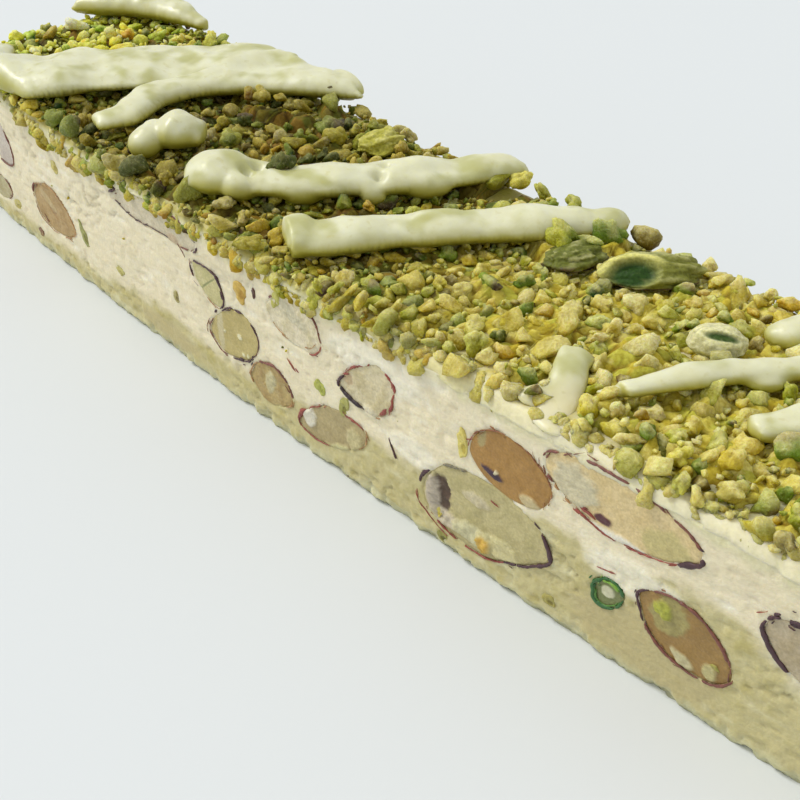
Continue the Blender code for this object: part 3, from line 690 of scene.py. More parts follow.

# How each almond looks. flesh: its two colours. rough: how crumbly its cut is, in millimetres.
# outline_strands: strands along the outline, skin but for a near-black one that is painted shade in a
# slit, as first and last turn in degrees (0 right end, 90 top), the outline's scale there, width in
# millimetres and colour. patches: place and half sizes along and across the almond in millimetres,
# colour and height; a dark sunk one is painted shadow in a hollow.
LOOKS = {
    "almond_front_01": dict(
        flesh=((196, 186, 140), (178, 164, 116)), rough=0.05,
        outline_strands=[(-60, 200, 1, 0.25, SKIN)]),
    "almond_front_02": dict(
        flesh=((212, 201, 184), (196, 181, 166)), rough=0.06,
        outline_strands=[(-70, 70, 1, 0.3, SKIN), (120, 200, 1, 0.2, SKIN_TAN)]),
    "almond_front_03": dict(
        flesh=((191, 160, 104), (171, 138, 82)), rough=0.06,
        outline_strands=[(-30, 60, 1, 0.22, SKIN_TAN), (60, 175, 1, 0.2, SKIN_TAN), (168, 200, 1, 0.45, SKIN),
               (200, 300, 1, 0.15, SKIN_TAN)],
        patches=[(-2.6, 0.6, 2.8, 0.9, (196, 172, 122), 0.05),
                 (-0.4, -0.5, 1.5, 0.5, (176, 142, 92), -0.1)]),
    "almond_front_04": dict(
        flesh=((228, 216, 186), (209, 197, 163)), rough=0.16,
        outline_strands=[(165, 200, 1, 0.6, SKIN_DARK), (178, 215, 0.9, 0.3, SKIN),
               (196, 318, 0.86, 0.2, SKIN_DARK), (95, 150, 1, 0.28, SKIN_DARK), (52, 84, 1, 0.3, SKIN),
               (-22, 48, 1, 0.5, SKIN_DARK), (-40, -5, 0.93, 0.3, SKIN)],
        patches=[(9.2, -0.6, 1.3, 2.0, (214, 190, 140), 0.1),
                 (7.0, 1.2, 1.6, 0.9, (206, 184, 150), 0.1)]),
    "almond_front_05": dict(
        flesh=((214, 204, 149), (194, 187, 125)), rough=0.03,
        outline_strands=[(-95, 110, 1, 0.42, SKIN_DARK), (205, 265, 1, 0.16, SKIN_TAN),
               (120, 190, 1.12, 0.3, SKIN_DARK)],
        patches=[(0.4, 0, 3.4, 0.16, (158, 160, 104), -0.05)]),
    "almond_front_06": dict(
        flesh=((203, 186, 120), (188, 171, 104)), rough=0.03,
        outline_strands=[(-98, 84, 1, 0.3, SKIN_DARK), (88, 128, 1.03, 0.32, SKIN_DARK),
               (140, 158, 1.12, 0.8, SKIN_DARK), (176, 250, 1, 0.26, SKIN), (182, 228, 1.12, 0.16, SKIN)],
        patches=[(0.6, 1.1, 0.5, 0.45, (236, 230, 188), 0.12),
                 (1.2, -1.8, 0.4, 0.4, (236, 230, 188), 0.12),
                 (2.3, -1.5, 0.3, 0.4, (230, 226, 176), 0.1), (-3.0, 0.4, 0.3, 0.3, (228, 224, 180), 0.1),
                 (-4.2, 0, 0.8, 4.2, (208, 196, 150), 0.0)]),
    "almond_front_07": dict(
        flesh=((198, 177, 116), (173, 145, 88)), rough=0.22,
        outline_strands=[(20, 150, 1, 0.6, SKIN), (150, 225, 1, 0.25, SKIN_TAN), (-30, 18, 1, 0.3, SKIN_TAN)],
        patches=[(-1.6, 0.4, 1.2, 2.2, (206, 196, 150), 0.1)]),
    "almond_front_08": dict(
        flesh=((191, 174, 124), (176, 159, 110)), rough=0.03,
        outline_strands=[(28, 150, 1, 0.26, SKIN_RED), (196, 262, 1, 0.2, SKIN_RED), (158, 204, 1.0, 0.9, SKIN_RED),
               (-35, 24, 1, 0.2, SKIN_TAN)],
        patches=[(-4.6, 0.6, 1.6, 2.0, (226, 220, 198), 0.25),
                 (2.0, -3.4, 3.4, 1.5, (206, 200, 146), 0.2),
                 (5.0, -0.6, 1.6, 2.2, (204, 192, 140), 0.2)]),
    "almond_front_09": dict(
        flesh=((240, 229, 198), (214, 202, 158)), rough=0.2,
        outline_strands=[(18, 74, 1, 0.42, SKIN), (-40, 12, 1, 0.34, SKIN_RED), (160, 196, 1, 0.3, SKIN),
               (230, 262, 0.9, 0.2, SKIN_TAN), (-42, 8, 0.8, 0.18, SKIN_TAN)],
        patches=[(-0.6, 1.8, 3.2, 1.2, (212, 204, 172), 0.1),
                 (0.8, -3.0, 1.4, 0.6, (210, 204, 172), 0.1)]),
    "almond_front_10": dict(
        flesh=((228, 216, 178), (206, 192, 146)), rough=0.18,
        outline_strands=[(14, 182, 1, 0.52, SKIN_RED), (-34, 18, 1, 0.5, SKIN_RED), (180, 214, 1, 0.4, SKIN_DARK),
               # the near-black strand at the lower left is painted shade in the slit between almond and
               # nougat
               (212, 262, 0.95, 0.8, (40, 26, 28)), (-62, -30, 0.9, 0.7, SKIN_RED),
               (-74, -48, 1.04, 0.4, SKIN_TAN)],
        patches=[(-3.3, 0.9, 1.1, 1.1, (202, 180, 140), 0.0),
                 (0.8, -2.6, 1.5, 1.0, (230, 220, 188), 0.25)]),
    "almond_front_11": dict(
        flesh=((204, 192, 138), (185, 174, 119)), rough=0.1,
        outline_strands=[(-48, 40, 1, 0.66, SKIN_DARK), (212, 300, 1, 0.34, SKIN_RED),
               (292, 318, 1, 0.7, SKIN_DARK), (150, 182, 1.02, 0.7, SKIN_DARK),
               (196, 240, 1.1, 0.2, SKIN_RED), (104, 128, 1, 0.35, (96, 92, 74))],
        # the dark sunk patch at the left is painted shadow in a hollow
        patches=[(-6.6, 0.4, 1.5, 3.4, (88, 66, 48), -0.35), (-8.2, 0.2, 1.2, 3.0, (190, 178, 158), 0.3),
                 (-5.6, -2.6, 3.2, 1.3, (200, 188, 160), 0.3),
                 (-1.2, -2.6, 3.6, 1.5, (214, 208, 164), 0.25),
                 (3.2, -2.2, 3.4, 1.6, (216, 206, 152), 0.2), (0.8, -3.0, 1.1, 1.3, (214, 176, 74), 0.45),
                 (-0.7, 3.2, 2.4, 0.9, (210, 198, 160), 0.15)]),
    "almond_front_12": dict(
        flesh=((182, 139, 70), (165, 123, 57)), rough=0.03,
        outline_strands=[(28, 172, 1, 0.24, (118, 72, 42)), (172, 200, 1, 0.2, SKIN_RED),
               (-18, 26, 1, 0.2, (132, 88, 50))],
        patches=[(-2.0, -2.6, 1.7, 0.5, (70, 46, 62), 0.2), (-1.5, -2.0, 0.3, 0.3, (226, 214, 176), 0.3),
                 (-4.8, 1.0, 0.6, 1.4, (178, 160, 104), 0.0),
                 (4.2, -2.4, 2.0, 1.0, (206, 188, 140), 0.2)]),
    "almond_front_13": dict(
        flesh=((233, 211, 158), (222, 198, 140)), rough=0.08,
        outline_strands=[(18, 165, 1, 0.42, SKIN), (150, 206, 1, 0.5, SKIN), (-34, 22, 1, 0.75, SKIN_DARK),
               (228, 252, 0.8, 0.5, SKIN_RED), (236, 330, 1, 0.3, SKIN_RED),
               (206, 232, 1, 0.5, SKIN_TAN)],
        patches=[(-6.4, 0.6, 3.4, 2.8, (214, 204, 168), 0.2),
                 (6.4, -0.3, 3.4, 2.4, (208, 194, 132), 0.05), (-2.2, -1.7, 1.2, 0.7, (92, 44, 48), 0.1),
                 (1.0, -3.2, 5.0, 0.8, (236, 230, 210), 0.2)]),
    "almond_front_14": dict(
        flesh=((168, 134, 73), (153, 120, 62)), rough=0.05,
        outline_strands=[(-50, 150, 1, 0.42, SKIN), (150, 230, 1, 0.4, SKIN_DARK), (230, 310, 1, 0.36, SKIN)],
        patches=[(-2.6, 0.6, 2.4, 3.0, (170, 158, 96), 0.05), (-3.6, 1.0, 1.3, 1.2, (178, 180, 70), 0.35),
                 (1.2, -3.0, 1.6, 0.8, (206, 196, 150), 0.25),
                 (4.4, -1.2, 1.0, 1.2, (196, 186, 130), 0.2)]),
    "almond_front_15": dict(
        flesh=((196, 181, 150), (181, 164, 127)), rough=0.12,
        outline_strands=[(112, 250, 1, 0.8, SKIN_DARK), (24, 112, 1, 0.45, SKIN_RED), (-70, 20, 1, 0.3, SKIN)]),
    "almond_front_16": dict(
        flesh=((176, 150, 100), (160, 130, 80)), rough=0.05,
        outline_strands=[(0, 200, 1, 0.3, SKIN), (230, 330, 1, 0.2, SKIN_TAN)]),
    "pistachio_front_01": dict(
        flesh=((130, 136, 84), (110, 118, 62)), rough=0.06,
        outline_strands=[(0, 360, 0.94, 0.55, (40, 84, 38)), (20, 165, 0.78, 0.6, (112, 152, 52)),
               (190, 330, 0.8, 0.3, (74, 116, 44))],
        patches=[(0.0, -0.2, 1.0, 0.9, (212, 210, 176), 0.1)]),
}
# the looks that the nuts in the other faces take in turn
SPARE_LOOKS = [f"almond_front_{number:02d}" for number in (12, 6, 13, 3, 8, 10, 14, 1, 9, 16, 2, 15)]

RING_COUNT = 26                # of points in a nut's cut face
SHREDS_PER_MM = 0.5            # torn bits of skin beside a strand
STRAND_SIDES = 6               # of a strand's flat tube
STRAND_STEP = 0.16             # between a strand's rings of points, millimetres
NUT_DEPTH = 2.6                # how far behind the cut face a nut piece reaches
BACK_SCALES = np.array([1.0, 0.8, 0.45, 0.15])      # of the rings that close a nut behind


def shreds(heap, nut, u, v, width, colour, seed):
    """Torn bits of skin beside a strand along (u, v)."""
    draw = np.random.default_rng(seed)
    length = np.hypot(np.diff(u), np.diff(v)).sum()
    for number in range(int(length * SHREDS_PER_MM)):
        at = draw.integers(1, len(u) - 1)
        ahead = math.atan2(v[at + 1] - v[at - 1], u[at + 1] - u[at - 1]) + draw.normal(0, 0.3)
        aside = draw.normal(0, 0.08 + 0.45 * width)
        reach = draw.uniform(0.25, 0.9)
        middle_u = u[at] - math.sin(ahead) * aside
        middle_v = v[at] + math.cos(ahead) * aside
        share = np.linspace(-reach, reach, 5)
        strand(heap, nut, middle_u + math.cos(ahead) * share, middle_v + math.sin(ahead) * share,
               draw.uniform(0.1, 0.16 + 0.35 * width), colour, seed + number, torn=False)


def strand(heap, nut, u, v, width, colour, seed, wiggle=0.12, height=0.06, torn=True):
    """A strand of skin lying in a cut face along (u, v): a flat tube that thins out and breaks,
    with torn bits of it on both sides."""
    if torn:
        shreds(heap, nut, u, v, width, colour, seed + 9)
    steps = np.concatenate([[0], np.cumsum(np.hypot(np.diff(u), np.diff(v)))])
    count = max(int(steps[-1] / STRAND_STEP), 6)
    at = np.linspace(0, steps[-1], count)
    u, v = np.interp(at, steps, u), np.interp(at, steps, v)
    probe = np.stack([u, v, np.full(count, seed * 3.7)], -1)
    u = u + wiggle * layered(probe, 1.3, 3, seed)
    v = v + wiggle * layered(probe, 1.3, 3, seed + 1)
    thick = width * (0.8 + 0.5 * layered(probe, 2.1, 2, seed + 2) + 0.5 * layered(probe, 0.5, 2, seed + 5))
    thick = np.maximum(thick, 0.06)
    thick *= step(-0.62, -0.3, noise(probe, 2.4, seed + 3)) * 0.85 + 0.15 if torn else 1
    thick *= np.sqrt(np.clip(np.minimum(at, steps[-1] - at) / (1.2 * width + 0.2), 0.02, 1))
    ahead = np.gradient(np.stack([u, v], -1), axis=0)
    ahead /= np.linalg.norm(ahead, axis=1, keepdims=True) + 1e-9
    turn = np.arange(STRAND_SIDES) / STRAND_SIDES * 2 * np.pi
    across = thick[:, None] * 0.5 * np.cos(turn)
    proud = height - 0.25 * (thick[:, None] < 0.3 * width)
    out = proud + np.minimum(thick, 0.5)[:, None] * 0.42 * np.sin(turn)
    uu = u[:, None] - ahead[:, 1:] * across
    vv = v[:, None] + ahead[:, :1] * across
    points = nut.place(uu, vv, out).reshape(-1, 3)
    ring = np.arange(STRAND_SIDES)
    caps = [ring[None, ::-1], ring[None] + (count - 1) * STRAND_SIDES]
    tone = 0.5 + 0.5 * layered(points, 0.7, 2, seed + 4)
    tint = mix(linear(colour), linear(np.minimum(np.array(colour) * 1.5 + 14, 255)), 0.55 * tone)
    heap.add(points, [tube(count, STRAND_SIDES), *caps], tint)


def add_flesh(heap, nut, look, rings=RING_COUNT, spacing=0.28):
    """A nut's cut face in rings from its centre, closed behind by a dome."""
    around = int(2 * np.pi * math.hypot(nut.a, nut.b) / 1.41 / spacing)
    front = np.linspace(0, 1, rings)[1:] ** 0.85
    scale = np.concatenate([front * 1.05, BACK_SCALES])
    turn = np.arange(around) / around * 2 * np.pi
    rim_u, rim_v = nut.outline(turn)
    u, v = scale[:, None] * rim_u, scale[:, None] * rim_v
    probe = np.stack([u, v, np.full(u.shape, nut.seed * 1.7)], -1)
    lumps, grain = layered(probe, 2.2, 3, nut.seed), layered(probe, 0.8, 3, nut.seed + 5)
    out = -0.03 + look["rough"] * (0.9 * lumps + 0.7 * grain) + 0.02 * lumps
    first, second = (linear(colour) for colour in look["flesh"])
    tint = mix(first, second, step(-0.5, 0.6, lumps * 0.8 + grain * 0.4))
    for number, (pu, pv, ru, rv, colour, height) in enumerate(look.get("patches", ())):
        away = np.hypot((u + nut.shift[0] - pu) / ru, (v + nut.shift[1] - pv) / rv)
        held = 1 - step(0.8, 1.1, away + 0.28 * layered(probe, 1.1, 3, nut.seed + 20 + number))
        tone = 1 + 0.16 * layered(probe, 0.7, 3, nut.seed + 40 + number)[..., None]
        tint = mix(tint, linear(colour) * tone, held)
        out = out + held * (height + abs(height) * 0.6 * grain)
    fall = np.clip((scale[:, None] - 0.93) / 0.12, 0, 1) ** 2
    out = out - 0.7 * fall
    depth = -NUT_DEPTH * np.sqrt(np.clip(1 - BACK_SCALES ** 2, 0, 1)) * min(nut.b / 4, 1)
    out[len(front):] = np.minimum(depth[:, None] - 0.9, -0.9)
    middle = nut.place(np.zeros(2), np.zeros(2), np.array([out[0].mean(), out[-1].min()]))
    points = np.concatenate([nut.place(u, v, out).reshape(-1, 3), middle])
    tints = np.concatenate([tint.reshape(-1, 3), tint[0].mean(0)[None], tint[-1].mean(0)[None]])
    quads = tube(len(scale), around)[:, (0, 3, 2, 1)]
    at = np.arange(around)
    last, end = at + (len(scale) - 1) * around, len(scale) * around
    inner = np.stack([np.full(around, end), at, np.roll(at, -1)], -1)
    outer = np.stack([np.full(around, end + 1), np.roll(last, -1), last], -1)
    heap.add(points, [quads, inner, outer], tints)


def almond_material(name):
    """The cut flesh of a nut, and its skin."""
    look = Shader(name, 0.5, subsurface=0.3, depth=1.2)
    fine = look.noise(0.35, 4)
    fibre = look.noise(1.0, 3, stretch=(1.8, 1.8, 0.6))
    look.colour(look.tinted(look.shades(fine, (228, 226, 222))))
    look.rough(look.ramp(fibre, 0.3, 0.7, 0.38, 0.6))
    look.bump(look.math("ADD", fine, fibre), 0.08)
    return look.material


# Smaller bits of nut that the front face cuts: their middle's x and z, half axes and tilt in
# millimetres and degrees, two colours, how crumbly they are and how far they stand proud
BITS = [
    (-13.8, 20.8, 1.3, 1.9, 20, (212, 178, 84), (190, 150, 60), 0.2, 0.12),
    (-5.6, 23.2, 0.9, 1.7, -20, (196, 192, 96), (172, 164, 66), 0.18, 0.12),
    (-10.6, 21.8, 0.35, 0.9, 10, (96, 62, 48), (74, 46, 40), 0.1, 0.06),
    (-65.8, 20.3, 1.1, 1.3, 30, (212, 196, 110), (190, 172, 84), 0.15, 0.10),
    (-58.8, 10.4, 0.8, 2.4, 25, (164, 164, 92), (136, 134, 62), 0.15, 0.10),
    (-84.0, 5.3, 1.5, 1.0, 10, (204, 190, 110), (184, 170, 86), 0.12, 0.06),
    (-75.7, 3.3, 1.1, 0.8, -20, (134, 98, 66), (176, 150, 100), 0.12, 0.05),
    (3.1, 13.2, 0.9, 1.3, 30, (186, 190, 88), (160, 166, 62), 0.2, 0.12),
    (8.0, 12.7, 0.8, 1.8, -15, (176, 174, 92), (148, 142, 60), 0.2, 0.10),
    (29.6, 18.7, 0.75, 2.1, 8, (222, 206, 112), (204, 184, 82), 0.15, 0.14),
    (26.6, 1.9, 0.9, 1.0, 0, (150, 146, 72), (122, 116, 50), 0.2, 0.06),
    (26.0, 5.6, 0.5, 0.7, 0, (212, 196, 92), (190, 170, 66), 0.2, 0.10),
    (67.0, 8.7, 1.0, 0.8, 20, (166, 160, 76), (140, 132, 54), 0.2, 0.10),
    (79.4, 9.6, 1.3, 0.9, 20, (206, 196, 112), (186, 172, 84), 0.2, 0.10),
    (-47.5, 8.6, 1.2, 0.8, -25, (196, 188, 112), (172, 162, 84), 0.2, 0.08),
    (-31.0, 11.8, 0.8, 1.1, 15, (176, 164, 100), (146, 132, 74), 0.2, 0.08),
    (44.6, 3.4, 1.0, 0.8, -10, (170, 160, 84), (148, 136, 62), 0.2, 0.08),
]
# loose slivers of dark skin in the front face: their ends' x and z, width and colour
SLIVERS = [((-3.9, 14.6), (-1.6, 13.0), 0.3, SKIN_RED), ((50.6, 13.0), (53.4, 13.6), 0.22, SKIN_RED),
           ((-73.0, 8.4), (-71.2, 7.0), 0.2, SKIN), ((8.0, 0.8), (8.9, 1.0), 0.3, SKIN_DARK),
           ((16.6, 12.6), (18.2, 9.6), 0.35, SKIN_DARK), ((-29.0, 22.2), (-26.8, 20.6), 0.2, SKIN),
           ((34.4, 12.9), (36.2, 12.6), 0.3, SKIN_RED), ((70.2, 19.6), (71.6, 20.8), 0.2, SKIN_RED)]


class Bit(Nut):
    """A smaller cut bit of nut in the front face."""

    def __init__(self, x, z, half_along, half_up, tilt, seed):
        self.face, self.shift = "front", (0, 0)
        corners = np.arange(360 // CORNER)
        self.edge = 1 + 0.22 * lattice_hash(np.stack([corners, corners * 0 + seed, corners], -1), 95)
        self.along = np.array([math.cos(math.radians(tilt)), math.sin(math.radians(tilt))])
        self.up = np.array([-self.along[1], self.along[0]])
        self.centre = np.array([x, z])
        self.a, self.b, self.seed = half_along, half_up, seed


BIT_CUTS = [Bit(*place, seed) for seed, (*place, _, _, _, _) in enumerate(BITS, 500)]


def add_bits():
    """The bits and slivers in the front face."""
    heap = Heap()
    for bit, (*_, light, dark, rough, proud) in zip(BIT_CUTS, BITS):
        # painted shade: each bit's darker colour in a shallow dent towards its lower right
        shaded_dent = (bit.a * 0.3, -bit.b * 0.3, bit.a * 0.5, bit.b * 0.4, dark, -0.1)
        look = dict(flesh=(light, dark), rough=rough, patches=[(0, 0, 9, 9, light, proud), shaded_dent])
        add_flesh(heap, bit, look, rings=9, spacing=0.22)
    for number, ((x0, z0), (x1, z1), width, colour) in enumerate(SLIVERS):
        sliver = Bit((x0 + x1) / 2, (z0 + z1) / 2, 1, 1, 0, 600 + number)
        share = np.linspace(-0.5, 0.5, 8)
        strand(heap, sliver, (x1 - x0) * share, (z1 - z0) * share, width, colour, 600 + number)
    as_piece(heap.build("front_bits", almond_material("cut_bits")), "almond", "nougat_white")


def add_nuts():
    """The nuts that the faces cut, each with its torn skin."""
    almond, kernel = almond_material("almond"), almond_material("pistachio_cut")
    spare = itertools.cycle(SPARE_LOOKS)
    for nut in NUTS:
        look = LOOKS[nut.name if nut.name in LOOKS else next(spare)]
        heap = Heap()
        add_flesh(heap, nut, look)
        for number, (start, end, scale, width, colour) in enumerate(look["outline_strands"]):
            turn = np.radians(np.linspace(start, end, 60))
            u, v = nut.outline(turn)
            strand(heap, nut, u * scale, v * scale, width, colour, nut.seed + 7 * number)
        is_almond = nut.name.startswith("almond")
        piece = heap.build("cut_" + nut.name, almond if is_almond else kernel)
        as_piece(piece, "almond" if is_almond else "pistachio_kernel", nut.name)

# --------------------------------------------------------------------------- coat

COAT_CELLS = (560, 76, 12)     # along, across and up
EDGE_FINER = 0.55              # how much of the coat's cells crowd towards its long edges
EDGE_RADIUS = 1.5              # of the coat's rounded upper edge, millimetres
EDGE_STRIP = (1.5, 6)          # how far from the edges the coat swells and takes on the nuts' colours
COAT_TINT = linear((224, 212, 142))
COAT_PALE = linear((236, 227, 176))
COAT_GREEN = linear((198, 192, 74))
COAT_GOLD = linear((216, 198, 76))
COAT_CREAM = linear((238, 229, 190))
COAT_DEEP = linear((178, 166, 74))


def grid_box(counts):
    """As closed_box, with its top in quads too."""
    points, faces = closed_box(counts)
    nx, ny, _ = counts
    i, j = grid(nx + 1, ny + 1)
    top = np.stack([i / nx, j / ny, np.ones(len(i))], -1)
    edge = np.flatnonzero(points[:, 2] == 1)
    spots = np.round(points[edge, 0] * nx) * (ny + 1) + np.round(points[edge, 1] * ny)
    renumber = np.arange(len(top)) + len(points)
    renumber[spots.astype(int)] = edge
    i, j = grid(nx, ny)
    corner = i * (ny + 1) + j
    quads = renumber[np.stack([corner, corner + ny + 1, corner + ny + 2, corner + 1], -1)]
    quads = np.concatenate([faces[0], quads])
    used, numbers = np.unique(np.concatenate([quads.ravel(), faces[1].ravel()]), return_inverse=True)
    quads, base = np.split(numbers, [quads.size])
    return np.concatenate([points, top])[used], [quads.reshape(-1, 4), base[None]]


def coat_tints(still, moved, w, rim, nougat_tint):
    """Colours of the coat, from its points before and after it swells, their height in it as a
    share, their distance from its nearest side and the nougat's colour there."""
    x, y = still[:, 0], still[:, 1]
    fine_lumps = layered(still, 1.5, 2, 53)
    tint = mix(COAT_TINT, COAT_PALE, step(-0.3, 0.6, layered(still, 5, 3, 50)))
    inside = step(0.6, 3.2, rim + 1.3 * fine_lumps)
    tint = mix(tint, COAT_CREAM, (1 - 0.7 * inside) * step(14, 44, x))
    tint = mix(tint, COAT_DEEP, 0.8 * np.maximum(1 - step(2, 22, x), step(2, 8, y)))
    stained = (1 - step(*EDGE_STRIP, rim)) * inside * (1 - 0.5 * step(44, 60, x))
    tint = mix(tint, COAT_GREEN, 0.85 * step(0.0, 0.4, layered(moved, 2.8, 3, 55)) * stained)
    tint = mix(tint, COAT_GOLD, 0.8 * step(0.1, 0.45, layered(moved, 2.3, 3, 56)) * stained)
    side = (rim < 0.01) * (1 - step(0.15, 0.95, w + 0.35 * fine_lumps) * step(-4, 16, x))
    return mix(tint, nougat_tint, side)


def coat_material():
    """Smooth, creamy coat."""
    look = Shader("pistachio_coat_look", 0.42, subsurface=0.5, depth=1.6, radius=(1, 0.9, 0.4))
    fine = look.noise(0.6, 3)
    look.colour(look.tinted(look.shades(fine, (240, 240, 236))))
    look.rough(look.ramp(fine, 0.3, 0.7, 0.4, 0.6))
    look.bump(fine, 0.09)
    return look.material


def add_coat():
    """The thin pale coat. Along its edges it runs over crumbs in soft lumps, and its lower rim
    dips into the nougat, whose relief and colour it takes on there."""
    unit, faces = grid_box(COAT_CELLS)
    u, v, w = unit.T
    x, v = (2 * u - 1) * HALF_LENGTH, 2 * v - 1
    y = HALF_WIDTH * ((1 - EDGE_FINER) * v + EDGE_FINER * np.sin(v * np.pi / 2))
    inward_x, inward_y = HALF_LENGTH - np.abs(x), HALF_WIDTH - np.abs(y)
    rim = np.minimum(inward_x, inward_y)
    creep = np.clip(1.6 + 2.6 * layered(np.stack([x, y, 0 * x], -1), 6.5, 4, 51), 0.2, 5.0)
    creep = creep * (rim < 0.01)
    still = np.stack([x, y, COAT_BASE - creep + w * (COAT_TOP - COAT_BASE + creep)], -1)
    soft, swollen = layered(still, 5, 3, 50), layered(still, 3.2, 3, 54)
    inner = np.clip(1 - rim / EDGE_RADIUS, 0, 1)
    roll = EDGE_RADIUS * (1 - np.sqrt(1 - inner ** 2)) * (1 + 0.1 * soft)
    swelling = 0.5 * swollen * (1 - step(*EDGE_STRIP, rim)) * step(0, 1.4, rim)
    points = still.copy()
    points[:, 2] += w * (0.14 * soft + swelling - roll)
    relief, nougat_tint = nougat_looks(points)
    bulge = relief - 0.24 + 0.32 * step(0, 0.9, w) + 0.1 * soft + 0.2 * step(0.25, 0.8, w) * swollen
    bulge = np.clip(bulge, -0.8, 0.95)
    points[:, 0] += np.sign(x) * bulge * (inward_x < 0.01)
    points[:, 1] += np.sign(y) * bulge * (inward_y < 0.01)
    tint = coat_tints(still, points, w, rim, nougat_tint)
    coat = new_object("coat", settle(points), faces, coat_material(), tint)
    as_piece(coat, "pistachio_coat", "pistachio_coat")

# --------------------------------------------------------------------------- chopped pistachios

# kinds of crumb: share of the crumbs at the far and the near end, flesh colours, and the colours
# of their skinned side
KINDS = {
    "yellow": ((0.1, 0.18), [(234, 214, 86), (226, 205, 70), (238, 222, 112)],
        [(190, 172, 48), (212, 198, 88)]),
    "straw": ((0.07, 0.18), [(236, 224, 126), (230, 215, 104), (224, 208, 98)],
        [(200, 182, 80), (212, 198, 104)]),
    "gold": ((0.06, 0.06), [(228, 194, 58), (220, 184, 48), (234, 210, 88)],
        [(180, 138, 40), (204, 176, 64)]),
    "lime": ((0.16, 0.14), [(220, 208, 70), (210, 198, 58), (226, 218, 98)],
        [(160, 160, 34), (188, 184, 56)]),
    "leaf": ((0.15, 0.12), [(196, 202, 70), (182, 192, 60), (208, 212, 98)],
        [(134, 152, 36), (170, 178, 62)]),
    "green": ((0.19, 0.09), [(148, 174, 54), (122, 154, 40), (168, 188, 74)],
        [(48, 88, 24), (94, 76, 52)]),
    "dark": ((0.17, 0.04), [(124, 132, 40), (102, 116, 34), (136, 120, 46)],
        [(58, 74, 28), (98, 66, 64)]),
    "pale": ((0.08, 0.16), [(242, 230, 156), (238, 226, 164), (244, 234, 172)],
        [(220, 208, 116), (228, 216, 146)]),
}
# sizes of crumb: how many, smallest and largest length in millimetres, ball detail, how many places
# each is tried at, and up to which share of the heap's height they lie. The largest come last.
SIZES = [(800, 3.0, 4.6, 2, 5, 0.62), (1500, 1.6, 3.0, 2, 7, 0.72), (1400, 0.6, 1.4, 1, 6, 0.78),
         (420, 3.8, 6.0, 3, 9, 1.0), (700, 2.6, 3.8, 3, 9, 1.0), (900, 0.9, 1.8, 1, 5, 1.0)]
# the two manners in which crumbs broke, sharp and lobed: their share, the least and the greatest
# depth of the planes that cut them, as shares of their half length, and how rough they are
MANNERS = [(0.48, 0.3, 0.72, 0.14), (0.52, 0.66, 1.1, 0.2)]
PLANES = 8                     # that cut a crumb
SLIM_SHARE, SLIM = 0.16, 0.62  # how many crumbs are slivers, and how wide those are left
LOBES = 14                     # of a lobed crumb,
LOBE_AWAY = (0.4, 0.74)        # how far their middles are out, as a share of the crumb's half length,
LOBE_SIZE = (0.26, 0.42)       # their radius
LOBE_LEAST = 0.54              # and the least that such a crumb reaches in any direction
# painted light and shade: how bright crumbs are along the bar, as a share of their colour
PAINTED_LIGHT_ALONG_BAR = [(-100, 2.0), (-82, 1.6), (-64, 0.56), (-30, 0.64), (-6, 0.84), (18, 0.98), (40, 1.04), (100, 1.04)]
MOST = 0.9                     # what their colour is kept under
# pale powder, laid on the upper sides of crumbs and kernels, where it is also a painted highlight
DUST_AND_HIGHLIGHT = linear((241, 234, 176))
CREASE_AND_UNDERSIDE_SHADE = (0.7, 0.64, 0.16)    # painted shade: what is left of a crumb's colour in its creases and underneath
SHELF = 2.4                    # width of the cream-covered strip before the crumbs, millimetres
SHELF_TINT = linear((226, 216, 150))

CELL = 0.4                     # of the height map that crumbs are laid on, millimetres
MAP_X = np.arange(-HALF_LENGTH, HALF_LENGTH + CELL, CELL)
MAP_Y = np.arange(-HALF_WIDTH - 2, HALF_WIDTH + 2 + CELL, CELL)
CRUMB_CEILING = 3.9            # how high above the coat dropped crumbs reach, millimetres,
UNDER_CEILING = 2.2            # under the drizzle,
MELTED_CEILING = 0.5           # under the ribbon that melts into the coat,
MELTED = "drizzle_06"          # which is this one,
KERNEL_CEILING = 1.0           # under the whole kernels
GAP_CEILING = 1.5              # and in the hollows that the drizzle leaves on its near side,
GAP_SHIFTS = [(1.2, -1.2), (2.2, -2.0), (3.0, -2.8)]
GAP_END = 22                   # which end here along the bar
REST = 0.7                     # share of a crumb's reach that rests on what is under it,
REST_ON_TOP = 0.45             # and how far the highest point there counts, beside the mean
ROOM = 1.3                     # that a crumb needs below the ceiling, in half heights
SINK = 0.4                     # height of a crumb's middle above what it rests on, in half heights
OVERHANG = 1.3                 # the most that crumbs reach over the bar's sides, millimetres
OVERHANG_END = 22              # up to which place along the bar crumbs reach over its front edge


def rotations(axis, angle):
    """Rotation matrices about an axis, one for each angle, along the last dimension."""
    first, second = (axis + 1) % 3, (axis + 2) % 3
    turn = np.zeros((3, 3, len(angle)))
    turn[axis, axis] = 1
    turn[first, first] = turn[second, second] = np.cos(angle)
    turn[first, second], turn[second, first] = -np.sin(angle), np.sin(angle)
    return turn


def random_turns(draw, count, lean):
    """Rotation matrices: any heading, then a lean from upright of about lean radians."""
    heading = draw.uniform(0, 2 * np.pi, count)
    tips = draw.normal(0, lean, (count, 2)).T
    return np.einsum("ijn,jkn,kln->nil", rotations(2, heading), rotations(0, tips[0]), rotations(1, tips[1]))


def lobed(draw, points, count):
    """How far lumps like popcorn reach in the direction of each of the points."""
    away = draw.normal(size=(count, LOBES, 3))
    away *= (draw.uniform(*LOBE_AWAY, (count, LOBES)) / np.linalg.norm(away, axis=-1))[..., None]
    size = draw.uniform(*LOBE_SIZE, (count, 1, LOBES))
    along = np.einsum("vk,nlk->nvl", points, away)
    inside = along ** 2 + size ** 2 - (away ** 2).sum(-1)[:, None]
    reach = np.where(inside > 0, along + np.sqrt(np.maximum(inside, 0)), 0)
    return np.maximum(reach.max(-1), LOBE_LEAST)


